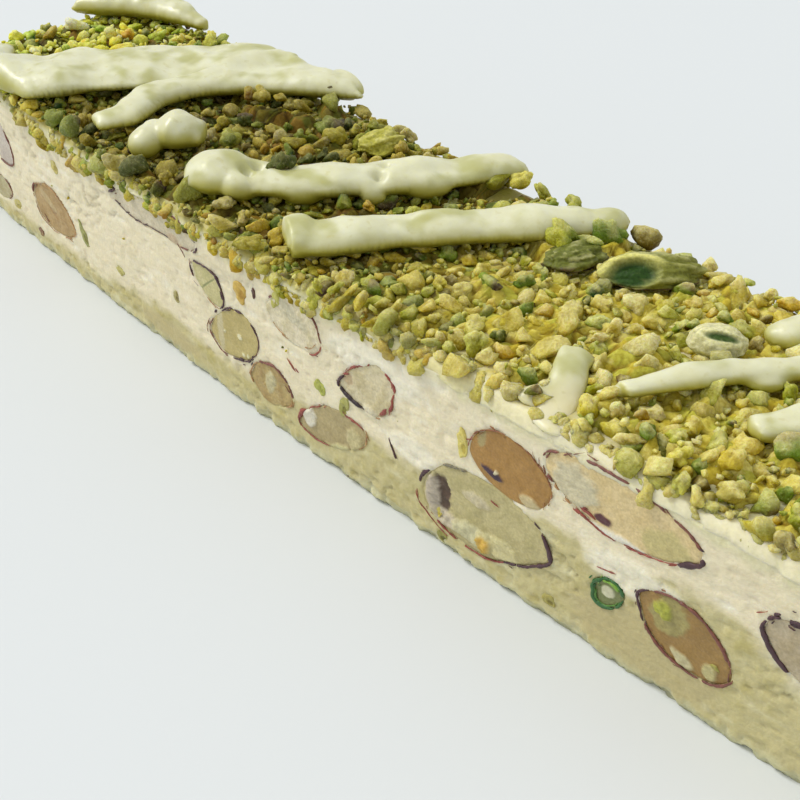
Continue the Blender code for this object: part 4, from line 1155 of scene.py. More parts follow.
def chips(draw, count, shortest, longest, detail, lean=0.45):
    """Broken bits of nut as points about their own centres: balls cut by random planes, some of
    them lobed."""
    points, faces = BALLS[detail]
    half = draw.uniform(shortest, longest, count)[:, None] / 2
    slim = np.where(draw.uniform(size=count) < SLIM_SHARE, SLIM, 1)
    broad = [np.ones(count), draw.uniform(0.6, 0.98, count) * slim, draw.uniform(0.5, 0.88, count) * slim]
    half = half * np.stack(broad, -1)
    share, low, high, rough = np.array(MANNERS).T
    manner = np.minimum((draw.uniform(size=(count, 1)) > np.cumsum(share)).sum(1), len(share) - 1)
    planes = draw.normal(size=(count, PLANES, 3))
    planes /= np.linalg.norm(planes, axis=-1, keepdims=True)
    depths = low[manner, None] + (high - low)[manner, None] * draw.uniform(size=(count, PLANES))
    reach = np.einsum("vk,npk->nvp", points, planes)
    scale = np.where(reach > 0.05, depths[:, None] / np.maximum(reach, 0.05), 9).min(-1)
    scale = np.minimum(scale, 1.02)
    scale = np.where(manner[:, None] == 1, np.minimum(lobed(draw, points, count), scale), scale)
    shape = points[None] * scale[..., None]
    offset = draw.uniform(0, 400, (count, 1, 3))
    shape = shape * (1 + rough[manner, None] * layered(shape + offset, 0.8, 3, 60))[..., None]
    shape = np.einsum("nij,nvj->nvi", random_turns(draw, count, lean), shape * half[:, None])
    return shape, faces


def crumb_tints(draw, shape, kind, x):
    """A crumb's flesh, mottled, its skinned side, painted shade in its creases and underneath, its powdery
    top that is also a painted highlight, and painted light and shade along the bar, for crumbs at x along the
    bar.
    """
    _, flesh, skin = KINDS[kind]
    count, corners = shape.shape[:2]
    base = linear(flesh)[draw.integers(0, len(flesh), count)]
    base = base * draw.uniform(0.82, 1.14, (count, 1))
    side = draw.normal(size=(count, 3))
    side /= np.linalg.norm(side, axis=1, keepdims=True)
    size = np.abs(shape).max((1, 2))
    facing = np.einsum("nvi,ni->nv", shape, side) / size[:, None]
    shade = layered(shape + draw.uniform(0, 300, (count, 1, 3)), 1.1, 2, 61)
    outer = linear(skin)[draw.integers(0, len(skin), count)]
    held = step(0.3, 0.5, facing + 0.3 * shade) * (draw.uniform(size=count) < 0.5)[:, None]
    tint = mix(np.repeat(base[:, None], corners, 1), outer[:, None], held)
    top = shape[..., 2] / np.abs(shape[..., 2]).max(1)[:, None]
    away = np.linalg.norm(shape, axis=-1)
    crease = step(0.3, 0.68, away / away.max(1)[:, None])
    # painted shade, warmed like bounce light, in the creases and underneath
    tint = mix(tint * CREASE_AND_UNDERSIDE_SHADE, tint, crease * step(-0.7, 0.25, top))
    # pale powder on the upper side, which is also a painted highlight there
    powder_and_highlight = (0.2 + 0.35 * step(-10, 34, x))[:, None] * step(0.15, 0.95, top + 0.6 * shade)
    tint = mix(0.9 * tint, DUST_AND_HIGHLIGHT, powder_and_highlight)
    # painted light and shade along the bar
    tint = tint * (1 + 0.2 * shade)[..., None] * np.interp(x, *np.array(PAINTED_LIGHT_ALONG_BAR).T)[:, None, None]
    return np.minimum(tint, MOST)


def heap_edges():
    """The heap's front and back edge along the bar, as samples of x, y_front and y_back."""
    xs, rows = stations(np.round(HEAP, 3))
    lines = [(x, row[:, 1].min(), row[:, 1].max()) for x, row in zip(xs, rows)
             if row[:, 1].min() < -HALF_WIDTH / 2 and row[:, 1].max() > HALF_WIDTH / 2]
    return np.array(lines).T


def footprint(kind):
    """Which cells of the height map the nodes of a kind cover, seen from above."""
    covered = np.zeros((len(MAP_X), len(MAP_Y)), bool)
    shares = np.array([(a, b, 12 - a - b) for a in range(13) for b in range(13 - a)]) / 12
    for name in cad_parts:
        if name.startswith(kind):
            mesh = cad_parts[name].data
            mesh.calc_loop_triangles()
            corners = straighten(node_points(name))[:, :2]
            triangles = corners[np.array([list(triangle.vertices) for triangle in mesh.loop_triangles])]
            spots = np.einsum("kc,tcx->tkx", shares, triangles).reshape(-1, 2)
            i, j = np.round((spots - (MAP_X[0], MAP_Y[0])) / CELL).astype(int).T
            covered[np.clip(i, 0, len(MAP_X) - 1), np.clip(j, 0, len(MAP_Y) - 1)] = True
    return covered


def shifted(mask, along, across):
    """The mask moved by some millimetres."""
    i, j = round(along / CELL), round(across / CELL)
    moved = np.zeros_like(mask)
    rows, columns = mask.shape
    moved[max(i, 0):rows + min(i, 0), max(j, 0):columns + min(j, 0)] = \
        mask[max(-i, 0):rows + min(-i, 0), max(-j, 0):columns + min(-j, 0)]
    return moved


class Bed:
    """The height of what lies on the coat, as a map that crumbs are dropped on."""

    def __init__(self):
        self.height = np.full((len(MAP_X), len(MAP_Y)), COAT_TOP + 0.1)
        x, front, back = heap_edges()
        ragged = layered(np.stack([MAP_X, MAP_X * 0, MAP_X * 0], -1), 4, 3, 62)
        reach = 4 * (1 - step(14, 30, MAP_X)) + 2.0 * step(0, 16, MAP_X)
        front = np.interp(MAP_X, x, front) - reach
        self.front = np.maximum(front, -HALF_WIDTH - 0.2) + 0.5 * ragged
        self.back = np.minimum(np.interp(MAP_X, x, back) + 2, HALF_WIDTH - 0.1)
        self.limit = np.full(self.height.shape, COAT_TOP + CRUMB_CEILING)
        under = footprint("drizzle")
        gap = np.any([shifted(under, *away) for away in GAP_SHIFTS], 0) & (MAP_X < GAP_END)[:, None]
        self.limit[gap] = COAT_TOP + GAP_CEILING
        self.limit[under] = COAT_TOP + UNDER_CEILING
        self.limit[footprint("pistachio_top")] = COAT_TOP + KERNEL_CEILING
        self.limit[footprint(MELTED)] = COAT_TOP + MELTED_CEILING

    def window(self, x, y, reach):
        """The cells around (x, y) within reach, and how far each is from it along and across."""
        i, j = (x + HALF_LENGTH) / CELL, (y - MAP_Y[0]) / CELL
        r = reach / CELL
        i0, i1 = max(int(i - r), 0), min(int(i + r) + 2, len(MAP_X))
        j0, j1 = max(int(j - r), 0), min(int(j + r) + 2, len(MAP_Y))
        away_x = (np.arange(i0, i1) - i)[:, None] * CELL
        away_y = (np.arange(j0, j1) - j)[None] * CELL
        return slice(i0, i1), slice(j0, j1), away_x, away_y

    def pile(self, x, y, reach, middle, half_height):
        """Raises the map by a crumb whose middle is that high."""
        rows, columns, away_x, away_y = self.window(x, y, reach)
        cap = 1 - (away_x ** 2 + away_y ** 2) / reach ** 2
        surface = np.where(cap > 0, middle + half_height * np.sqrt(np.clip(cap, 0, 1)), 0)
        self.height[rows, columns] = np.maximum(self.height[rows, columns], surface)

    def drop(self, draw, reach, top, tries, share):
        """Rests a crumb of that reach and half height on the lowest of a few places, no higher
        than a share of the heap."""
        best = None
        for _ in range(tries):
            x = draw.uniform(-HALF_LENGTH + reach, HALF_LENGTH - reach)
            at = int((x + HALF_LENGTH) / CELL)
            hang = 0.05 if x < OVERHANG_END else 0.4
            y = draw.uniform(self.front[at] + hang * reach, self.back[at] - 0.25 * reach)
            rows, columns, away_x, away_y = self.window(x, y, REST * reach)
            near = away_x ** 2 + away_y ** 2 < (REST * reach) ** 2
            highest = (self.height[rows, columns] * near).max()
            under = REST_ON_TOP * highest + (1 - REST_ON_TOP) * self.height[rows, columns].mean()
            room = (self.limit[at, int((y - MAP_Y[0]) / CELL)] - COAT_TOP) * share + COAT_TOP - under
            if best is None or under - room * 0.05 < best[0]:
                best = (under - room * 0.05, x, y, under, room)
        _, x, y, under, room = best
        if room < ROOM * top:
            return None
        self.pile(x, y, reach, under + SINK * top, top)
        return x, y, under + SINK * top


BED = Bed()


def creamed(x, y):
    """How much of the coat's cream covers a crumb at (x, y): all of it at the front edge."""
    edge = np.interp(x, MAP_X, BED.front)
    wide = 0.2 + (SHELF - 0.2) * step(0, 24, x)
    return 1 - step(-0.4, wide, y - edge + 1.4 * noise(np.stack([x, y, 0 * x], -1), 5, 63))


def add_chips(heap, points, faces, tint):
    """Adds crumbs to a heap, each moved in where it hangs over the bar's side by more than OVERHANG."""
    count, corners = points.shape[:2]
    y, most = points[..., 1], HALF_WIDTH + OVERHANG
    inward = np.maximum(-most - y.min(1), 0) - np.maximum(y.max(1) - most, 0)
    points = points + inward[:, None, None] * (0, 1, 0)
    numbered = faces[None] + (np.arange(count) * corners)[:, None, None]
    heap.add(points.reshape(-1, 3), numbered.reshape(-1, 3), tint.reshape(-1, 3))


def share_out(heaps, draw, shape, faces, places, kinds, cover, shade_at):
    """Adds crumbs to the heaps of their kinds. cover is how much cream is on each, and shade_at the
    place along the bar that it takes its shade from."""
    for number, (name, heap) in enumerate(heaps.items()):
        chosen = kinds == number
        tint = crumb_tints(draw, shape[chosen], name, shade_at[chosen])
        tint = mix(tint, SHELF_TINT, cover[chosen, None])
        add_chips(heap, shape[chosen] + places[chosen, None], faces, tint)


# crumbs with places of their own: x, y, height of the middle above the coat, length, kind
SET_CRUMBS = [(-8.9, -4.4, 2.6, 4.0, "green"), (-21.4, -5.6, 4.9, 5.0, "dark"),
              (-6.4, -2.4, 2.6, 3.0, "gold"), (19.2, 8.4, 3.4, 6.2, "leaf"),
              (21.6, 10.6, 3.2, 5.6, "green"), (17.6, 11.6, 3.6, 5.0, "leaf"),
              (22.4, 14.2, 2.8, 5.6, "green"), (15.6, 9.6, 3.2, 4.4, "lime"),
              (-42.4, 6.6, 4.9, 3.6, "yellow"), (-44.6, 5.4, 4.7, 2.8, "gold"),
              (-40.0, 8.4, 4.8, 3.0, "yellow"), (-36.0, 9.6, 4.2, 4.0, "straw"),
              (-29.8, -17.4, 1.6, 6.6, "leaf"), (-21.8, -15.7, 1.9, 4.2, "pale"),
              (8.3, 9.3, 2.2, 5.4, "leaf"), (31.1, -5.0, 1.9, 4.4, "yellow"),
              (29.0, -7.4, 1.5, 4.0, "straw"), (41.0, -3.6, 2.0, 6.4, "pale"),
              (43.6, -5.6, 1.8, 5.0, "pale"), (18.8, -4.6, 2.0, 5.4, "green"),
              (0.6, 16.4, 3.0, 5.0, "leaf"), (-1.4, 13.6, 3.2, 4.4, "pale"),
              (3.2, 18.4, 2.2, 4.4, "lime"), (-35.4, 15.6, 3.0, 4.6, "leaf"),
              (-38.4, 17.6, 2.8, 4.4, "green")]

def set_crumbs(heaps, draw):
    """Lays the crumbs of SET_CRUMBS, which the others then pile up around."""
    for x, y, height, length, kind in SET_CRUMBS:
        shape, faces = chips(draw, 1, 0.94 * length, 1.04 * length, 3, lean=0.3)
        tint = crumb_tints(draw, shape, kind, np.array([x]))
        add_chips(heaps[kind], shape + (x, y, COAT_TOP + height), faces, tint)
        BED.pile(x, y, length / 2, COAT_TOP + height, length / 4)


def drop_crumbs(heaps, draw):
    """Drops the crumbs of SIZES on the bed, size by size and each time the largest first."""
    ends = np.array([share for share, _, _ in KINDS.values()])
    ends = np.cumsum(ends / ends.sum(0), 0)
    for count, shortest, longest, detail, tries, share in SIZES:
        shape, faces = chips(draw, count, shortest, longest, detail)
        picks = draw.uniform(size=count)
        places = np.full((count, 3), np.nan)
        for index in np.argsort(-np.abs(shape).max((1, 2))):
            reach = np.hypot(shape[index, :, 0], shape[index, :, 1]).max() * 0.85
            place = BED.drop(draw, reach, shape[index, :, 2].max(), tries, share)
            if place:
                places[index] = place
        placed = np.isfinite(places[:, 0])
        shape, picks, places = shape[placed], picks[placed], places[placed]
        x, y = places[:, 0], places[:, 1]
        nearness = x / HALF_LENGTH / 2 + 0.5
        kinds = (picks > ends[:, :1] * (1 - nearness) + ends[:, 1:] * nearness).sum(0)
        cream = creamed(x, y)
        places[:, 2] -= cream * np.abs(shape[..., 2]).max(1) * 0.55
        share_out(heaps, draw, shape, faces, places, kinds, 0.6 * cream, x)


# crumbs stuck on the bar's upper edges: side, from and to along it, how many, how far they creep
# down (millimetres below the coat's top), and how much cream covers them
EDGE_CRUMBS = [("front", -100, -76, 24, 1.8, 0.3), ("front", -76, 6, 230, 3.6, 0.1),
               ("front", 6, 26, 60, 2.0, 0.1), ("front", 26, 60, 40, 0.9, 0.5),
               ("front", 60, 100, 50, 0.9, 0.7), ("back", -100, 100, 130, 1.4, 0.4),
               ("near", -20, 20, 26, 1.2, 0.4), ("far", -20, 20, 26, 1.2, 0.4)]
EDGE_SHARES = (0.18, 0.12, 0.12, 0.18, 0.16, 0.09, 0.04, 0.11)     # of the kinds, in their order
EDGE_LENGTHS = (2.2, 5.0)      # of the shortest and the longest of them, millimetres
EDGE_SHADE_AT = 10             # they take the painted light and shade of the heap's crumbs at this place along the bar
EDGE_FALL = 1.6                # how far below the coat's top they are all the way over the edge


def edge_crumbs(heaps, draw):
    """Crumbs that roll over the upper edges and stick in the coat there."""
    for face, start, end, count, creep, cream in EDGE_CRUMBS:
        shape, faces = chips(draw, count, *EDGE_LENGTHS, 3 if face == "front" else 2, lean=1.2)
        s = draw.uniform(start, end, count)
        bunch = 0.5 + 0.5 * layered(np.stack([s, 0 * s, 0 * s], -1), 7, 3, 64)
        down = creep * bunch * draw.uniform(0, 1, count) ** 1.3 * EDGE_FALL
        size = np.abs(shape).max((1, 2))
        over = np.clip(down / EDGE_FALL, 0, 1)
        out = -1.4 * (1 - over) ** 1.5 - size * (0.25 + 0.3 * cream) * over
        out = out - draw.uniform(0, 1.6, count) * (1 - over)
        places = on_face(face, s, COAT_TOP - down - size * 0.2 * (1 - over) - 0.3, out)
        kinds = draw.choice(len(heaps), count, p=EDGE_SHARES)
        covered = np.clip(cream + draw.normal(0, 0.25, count), 0, 1)
        share_out(heaps, draw, shape, faces, places, kinds, 0.8 * covered, np.full(count, EDGE_SHADE_AT))


def crumb_material():
    """Dusty chopped nuts that light comes through."""
    look = Shader("chopped_pistachio_look", 0.5, subsurface=0.7, depth=1.1, radius=(1, 0.85, 0.2))
    look.set("Specular IOR Level", 0.2)
    fine = look.noise(0.35, 4)
    dust = look.ramp(look.noise(0.5, 5), 0.52, 0.72, 0.0, 0.16)
    look.colour(look.mix(dust, look.tinted(look.shades(fine, (224, 216, 176))), (241, 234, 172)))
    look.rough(look.ramp(fine, 0.3, 0.7, 0.42, 0.65))
    look.bump(look.math("ADD", fine, look.noise(0.8, 4)), 0.34)
    return look.material


def add_crumbs():
    """The chopped pistachios, one piece for each kind."""
    draw = np.random.default_rng(5)
    heaps = {name: Heap() for name in KINDS}
    set_crumbs(heaps, draw)
    drop_crumbs(heaps, draw)
    edge_crumbs(heaps, draw)
    material = crumb_material()
    for name, heap in heaps.items():
        as_piece(heap.build("crumbs_" + name, material), "chopped_pistachio", "chopped_pistachios")

# --------------------------------------------------------------------------- crushed bed

CORE_CELLS = (640, 120, 2)     # along, across and up
CORE_INSET = 0.4               # of the bed's ends from the bar's, millimetres
BED_GRAIN = 1.5                # size of the finer crumbs that the bed is made of, millimetres
# colours of those finer crumbs at the far and the near end
BED_TINTS = {"far": [(128, 116, 38), (102, 92, 26), (110, 112, 36), (140, 112, 38)],
             "near": [(222, 208, 96), (208, 190, 68), (198, 194, 78), (232, 220, 128)]}
CORE_BLUR = 1.5                # how far the bed's height is evened out, millimetres,
CORE_DEPTH = (1.3, 0.75)       # how deep under that it lies at the far and the near end,
CORE_CEILING = 2.3             # and how high above the coat it comes at most


def blurred(field, reach):
    """A height map evened out over reach millimetres each way."""
    count = round(reach / CELL)
    weights = np.hanning(2 * count + 3)[1:-1]
    weights /= weights.sum()
    for axis in (0, 1):
        wide = [(count, count) if number == axis else (0, 0) for number in (0, 1)]
        padded = np.pad(field, wide, mode="edge")
        field = np.apply_along_axis(np.convolve, axis, padded, weights, "valid")
    return field


def sampled(field, x, y):
    """A height map's value at (x, y), between its cells."""
    i, j = (x - MAP_X[0]) / CELL, (y - MAP_Y[0]) / CELL
    i0, j0 = i.astype(int), j.astype(int)
    i1, j1 = np.minimum(i0 + 1, len(MAP_X) - 1), np.minimum(j0 + 1, len(MAP_Y) - 1)
    low = field[i0, j0] + (field[i1, j0] - field[i0, j0]) * (i - i0)
    high = field[i0, j1] + (field[i1, j1] - field[i0, j1]) * (i - i0)
    return low + (high - low) * (j - j0)


def bed_material():
    """Crushed nuts, duller than the crumbs on them."""
    look = Shader("crushed_pistachio_look", 0.6, subsurface=0.5, depth=1.2, radius=(1, 0.85, 0.2))
    look.set("Specular IOR Level", 0.15)
    fine = look.noise(0.5, 4)
    look.colour(look.tinted(look.shades(fine, (214, 206, 166))))
    look.bump(fine, 0.2)
    return look.material


def add_core():
    """The sticky crushed bed that the crumbs are half sunk in, darker in the gaps between them as painted
    shade.
    """
    unit, faces = grid_box(CORE_CELLS)
    u, v, w = unit.T
    x = (2 * u - 1) * (HALF_LENGTH - CORE_INSET)
    front, back = (np.interp(x, MAP_X, line) for line in (BED.front, BED.back))
    front = front + 1.0 + 1.4 * step(-20, 20, x)
    y = front + v * (back - 1.2 - front)
    far, near = CORE_DEPTH
    bed = blurred(BED.height, CORE_BLUR) - (far + (near - far) * step(-10, 26, MAP_X))[:, None]
    top = np.maximum(sampled(np.minimum(bed, COAT_TOP + CORE_CEILING), x, y), COAT_TOP + 0.2)
    points = np.stack([x, y, COAT_TOP - 0.6 + 0 * x], -1)
    rough = layered(points, 1.3, 3, 70)
    rim = np.minimum(np.minimum(v, 1 - v) * 2 * HALF_WIDTH, HALF_LENGTH - CORE_INSET - np.abs(x))
    away, mark = cells(np.stack([x, y, 0 * x], -1) + 0.4 * rough[:, None], BED_GRAIN, 71)
    grain = np.sqrt(np.clip(1 - (away / 0.72) ** 2, 0, 1))
    top = COAT_TOP - 0.3 + (top - COAT_TOP + 0.3) * step(-0.5, 3, rim) + 0.2 * rough + 0.7 * grain - 0.35
    points[:, 2] += w * (top - COAT_TOP + 0.6)
    near = step(0, 26, x)[:, None]
    kind = (mark * 4).astype(int) % 4
    tint = linear(BED_TINTS["far"])[kind] * (1 - near) + linear(BED_TINTS["near"])[kind] * near
    # painted shade: darker and more saturated where the grains meet
    tint = mix(tint * (0.5, 0.4, 0.16), tint, step(0.1, 0.8, grain)) * (1 + 0.15 * rough)[:, None]
    core = new_object("crushed_bed", settle(points), faces, bed_material(), tint)
    as_piece(core, "chopped_pistachio", "chopped_pistachios")

# --------------------------------------------------------------------------- whole kernels

# The whole kernels. grow: their size along, across and up, as shares of their node's. shift: along
# and across it, millimetres. hollow: its middle along and up the side that faces the front, half
# sizes and depth, as shares of the kernel's half size. lumpy: how uneven its left and right ends
# are. Colours of its rim, inside, body and skin.
# The dark inside colours are the kernels' green with painted shade in their hollows.
KERNELS = {
    "pistachio_top_01": dict(
        grow=(1.12, 1.05, 1.5), shift=(0.7, 0.3), hollow=(-0.38, -0.28, 0.56, 0.78, 0.5),
        lumpy=(0.08, 0.28), rim=(232, 226, 138), inside=(50, 84, 24), body=(136, 138, 56),
        skin=(98, 72, 60)),
    "pistachio_top_02": dict(
        grow=(1, 1, 1.2), shift=(0, 0), lumpy=(0.38, 0.5), rim=(214, 204, 112), inside=(150, 150, 60),
        body=(120, 126, 50), skin=(96, 74, 60)),
    "pistachio_top_03": dict(
        grow=(0.8, 1.0, 1.5), shift=(0.4, -0.4), hollow=(0.14, -0.06, 0.66, 0.24, 0.16),
        lumpy=(0.07, 0.07), rim=(236, 232, 180), inside=(72, 98, 40), body=(238, 233, 184),
        skin=(216, 214, 146)),
    "pistachio_top_04": dict(
        grow=(1, 1, 1.3), shift=(0, 0), lumpy=(0.38, 0.5), rim=(226, 220, 150), inside=(206, 186, 64),
        body=(196, 190, 78), skin=(150, 150, 50)),
}
NO_HOLLOW = (0, 0, 0.01, 0.01, 0)
HOLLOW_WAY = np.array([0, -0.5, 0.866])      # the way a hollow faces, in a kernel's own axes,
HOLLOW_UP = np.array([0, 0.866, 0.5])        # and which way is up its side
KERNEL_LIFT = 0.7              # of a kernel's middle above its node's base, millimetres
KERNEL_HEIGHT = 0.62           # a kernel's half height, as a share of its node's height
KERNEL_DETAIL = 5              # of the ball that a kernel is shaped from


def kernel_material():
    """Dusty, wrinkled kernels."""
    look = Shader("pistachio_kernel_look", 0.5, subsurface=0.4, depth=1.0, radius=(1, 0.9, 0.3))
    look.set("Specular IOR Level", 0.2)
    fine = look.noise(0.45, 4)
    look.colour(look.tinted(look.shades(fine, (205, 205, 190))))
    look.rough(look.ramp(fine, 0.3, 0.7, 0.35, 0.6))
    look.bump(fine, 0.18)
    return look.material


def kernel_shape(form, points, seed):
    """A kernel from a unit ball's points, in shares of its half sizes, and its tint."""
    ridges = layered(points * (1.0, 3.0, 3.0) + seed, 1.0, 3, seed)
    grain = layered(points + seed, 0.3, 3, seed + 1)
    middle_u, middle_w, half_u, half_w, depth = form.get("hollow", NO_HOLLOW)
    facing, upward = points @ HOLLOW_WAY, points @ HOLLOW_UP
    reach = np.hypot((points[:, 0] - middle_u) / half_u, (upward - middle_w) / half_w) + 0.12 * ridges
    reach = np.where(facing > 0.1, reach, 9)
    hollow = np.clip(1 - reach ** 2, 0, 1)
    slant = (upward - middle_w) / half_w - 0.6 * (points[:, 0] - middle_u) / half_u
    lip = bell(reach - 1.12, 0.18) * step(-0.6, 0.5, slant + 0.4 * ridges)
    left, right = form["lumpy"]
    lumpy = left + (right - left) * step(0.1, 0.5, points[:, 0])
    shape = points * (1 + lumpy * ridges + 0.07 * grain + 0.07 * lip)[:, None]
    shape = shape - depth * step(0, 0.7, hollow)[:, None] * HOLLOW_WAY

    rim, inside, body, skin = (linear(form[part]) for part in ("rim", "inside", "body", "skin"))
    tint = mix(body, skin, step(0.1, 0.6, ridges - 0.9 * points[:, 2]))
    # pale powder on the upper half, which is also a painted highlight there
    tint = mix(tint, DUST_AND_HIGHLIGHT, 0.36 * step(-0.15, 0.45, grain + 0.3 * ridges) * step(0, 0.6, points[:, 2]))
    # painted shade: the inside colour deepens towards the hollow's middle
    inside = mix(rim, inside, 0.5 + 0.5 * step(0.15, 0.7, hollow))
    tint = mix(tint, inside, step(0.02, 0.25, hollow) * (1 - 0.35 * step(0.2, 0.6, grain)))
    tint = mix(tint, rim, np.clip(lip * 1.3, 0, 1))
    return shape, tint * (1 + 0.15 * grain)[:, None]


def add_kernels():
    """Pistachios broken open along their length: a dusty wrinkled body with a hollow in it."""
    material = kernel_material()
    ball_points, faces = ball(KERNEL_DETAIL)
    for name, form in KERNELS.items():
        corners = straighten(node_points(name))
        middle = (corners.min(0) + corners.max(0)) / 2
        flat = corners[:, :2] - middle[:2]
        first, second, length = farthest(flat)
        along = (second - first) / length
        along = along * np.sign(along[0])
        across = np.array([-along[1], along[0]])
        half = [length / 2, np.abs(flat @ across).max(), np.ptp(corners[:, 2]) * KERNEL_HEIGHT]
        shape, tint = kernel_shape(form, ball_points, len(name) + int(name[-1]) * 7)
        shape = shape * (np.array(half) * form["grow"])
        shape[:, 2] *= np.where(shape[:, 2] < 0, 0.6, 1)
        shape[:, :2] += form["shift"]
        flat = shape[:, :1] * along + shape[:, 1:2] * across + middle[:2]
        points = np.concatenate([flat, corners[:, 2].min() + KERNEL_LIFT + shape[:, 2:]], 1)
        kernel = new_object(name + "_kernel", settle(points), faces, material, tint)
        as_piece(kernel, "pistachio_kernel", name)

# --------------------------------------------------------------------------- drizzle

# What the poured chocolate adds to each ribbon. Places are (t, s): t along the ribbon from its
# front end at -1 to its back end at 1, s millimetres from its middle line towards the near end.
# blobs: t, s, height of the blob's middle above the ribbon's base, then its half sizes along,
# across and up, all in millimetres but t. lumps: t, s, size, height, a crease where negative.
# taper: how wide the front and back ends are left. facet: t at which the front end is cut flat.
# swell: how far its surface stands out. full: how much higher it is than its node, as a share.
# melt: up to which t the ribbon sinks towards its front end, by how much and how thin it gets.
POURED = {
    "drizzle_01": dict(
        taper=(0.8, 0.5),
        lumps=[(-0.3, 0, 4, 0.5), (0.3, 1, 3, -0.4)]),
    "drizzle_02": dict(
        taper=(1, 0.9),
        lumps=[(-0.8, 3.5, 5, 0.9), (-0.5, 5.0, 5, 0.8), (-0.2, 5.5, 5, 0.7), (0.1, 3.5, 6, 0.5),
               (-0.65, -1.5, 3.4, -1.0), (-0.3, 0.2, 4, -0.9), (0.05, -1.5, 4, -0.6), (-0.5, -6, 4, 0.6),
               (0.3, -3.5, 4, 0.7), (0.5, 2.5, 5, -0.5), (0.75, 4, 5, 0.8), (0.35, 9, 5, 0.7),
               (0.1, 14, 4, 0.6)],
        blobs=[(-0.92, 0, 1.7, 3.0, 8.2, 1.9), (0.9, -1.5, 1.4, 3.4, 4.6, 1.6)]),
    "drizzle_03": dict(
        taper=(0.9, 0.9), swell=0.3,
        lumps=[(0.2, 0, 2.5, 0.5)],
        blobs=[(0.15, 0, 2.2, 3.3, 3.2, 1.9), (-0.45, 0.8, 1.2, 2.6, 2.7, 2.0),
               (-0.9, 1.0, 0.3, 1.6, 1.7, 2.0)]),
    "drizzle_04": dict(
        taper=(0.95, 0.7),
        lumps=[(-0.62, 1.5, 1.0, -1.5), (-0.56, -0.6, 1.1, -1.4), (-0.4, -1, 3.2, -0.6),
               (-0.12, 0, 3, 0.5), (0.13, 1.8, 0.9, -1.1), (0.18, -0.6, 1, -0.9), (0.35, 0, 3.5, 0.5),
               (0.6, 0, 3, -0.5), (0.85, 0, 3, 0.6)],
        blobs=[(-0.8, -0.2, 1.8, 4.8, 4.6, 2.3), (-0.66, 1.8, 1.3, 3.0, 3.0, 1.9),
               (0.1, 2.8, 0.7, 1.6, 1.4, 1.1), (-0.3, 2.8, 1.0, 3.0, 1.6, 1.5),
               (0.42, 2.6, 1.2, 3.4, 1.6, 1.5)]),
    "drizzle_05": dict(
        taper=(1, 0.75), facet=-0.9, full=1.12,
        lumps=[(-0.55, 0, 3.6, 0.7), (-0.3, 0, 3, -0.45), (-0.05, 0, 3.6, 0.55), (0.25, 0, 3, -0.35),
               (0.5, 0, 3.4, 0.5), (0.8, 0, 2.4, 0.4)],
        blobs=[(-0.86, -0.2, 1.7, 3.2, 3.7, 2.1), (0.95, 0.4, 1.5, 2.6, 2.8, 1.8)]),
    "drizzle_06": dict(
        taper=(1.3, 0.9), swell=0.15, full=0.9, melt=(1.3, 2.6, 0.4),
        lumps=[(0.2, 0, 2, 0.3), (-0.3, 0.8, 2, -0.3)],
        blobs=[(-0.25, 0.8, 1.0, 2.6, 1.6, 1.3), (0.75, 0.6, 1.2, 1.6, 1.6, 1.0),
               (0.0, -2.8, 1.3, 1.5, 3.0, 1.3)]),
    "drizzle_07": dict(
        taper=(0.6, 0.9), swell=-0.05, full=0.9,
        lumps=[(-0.5, 0, 3, 0.25), (0, 0, 3, -0.2), (0.4, 0, 3, 0.4)],
        blobs=[(-0.98, -0.5, 0.8, 3.0, 1.2, 0.8), (-0.2, 1.8, 0.8, 2.5, 1.2, 1.2)]),
    "drizzle_08": dict(
        taper=(0.8, 1), swell=0.2, full=1.0,
        lumps=[(-0.3, 0, 2.5, 0.5)],
        blobs=[(-0.8, 0.5, 1.5, 2.4, 2.6, 1.7)]),
    "drizzle_09": dict(
        taper=(0.75, 1), swell=0.15, full=1.0,
        lumps=[(-0.5, 0, 3, 0.5), (0, 0, 3, -0.4), (0.5, 0, 3, 0.4)],
        blobs=[(-0.85, 0.4, 1.4, 3.0, 2.8, 1.6), (-0.4, 1.4, 1.2, 3, 2.0, 1.5)]),
    "drizzle_10": dict(
        taper=(0.9, 1), swell=0.35, full=1.0,
        lumps=[(-0.4, 0, 3, 0.5), (0, 0, 3, -0.4), (0.4, 0, 3, 0.5)],
        blobs=[(-0.2, 1.5, 1.2, 4, 2.4, 1.7)]),
}
SWELL = 0.55                   # how far a ribbon's surface stands out unless POURED says it,
FULLER = 1.16                  # and how much higher than its node it stands, as a share
VOXEL = 0.4                    # of the merged ribbons, millimetres
SOFTENING = (0.8, 7)           # of the merged ribbons: share of each pass, and how many
SAG = 0.28                     # how much of its roundness a ribbon keeps underneath
DRAPE_START = 20.9             # how far from the bar's middle line a ribbon begins to bend down,
DRAPE = 1.4                    # and how much further it reaches
END_SLANT = 0.004              # of a front end that is cut flat
# painted light by which way the surface faces: a lit top, and shaded sides and feet
DRIZZLE_LIT_TOP = linear((225, 224, 192))
DRIZZLE_CLOUD = linear((192, 191, 132))
DRIZZLE_SHADED_SIDE = linear((188, 183, 96))
DRIZZLE_SHADED_FOOT = linear((158, 152, 48))


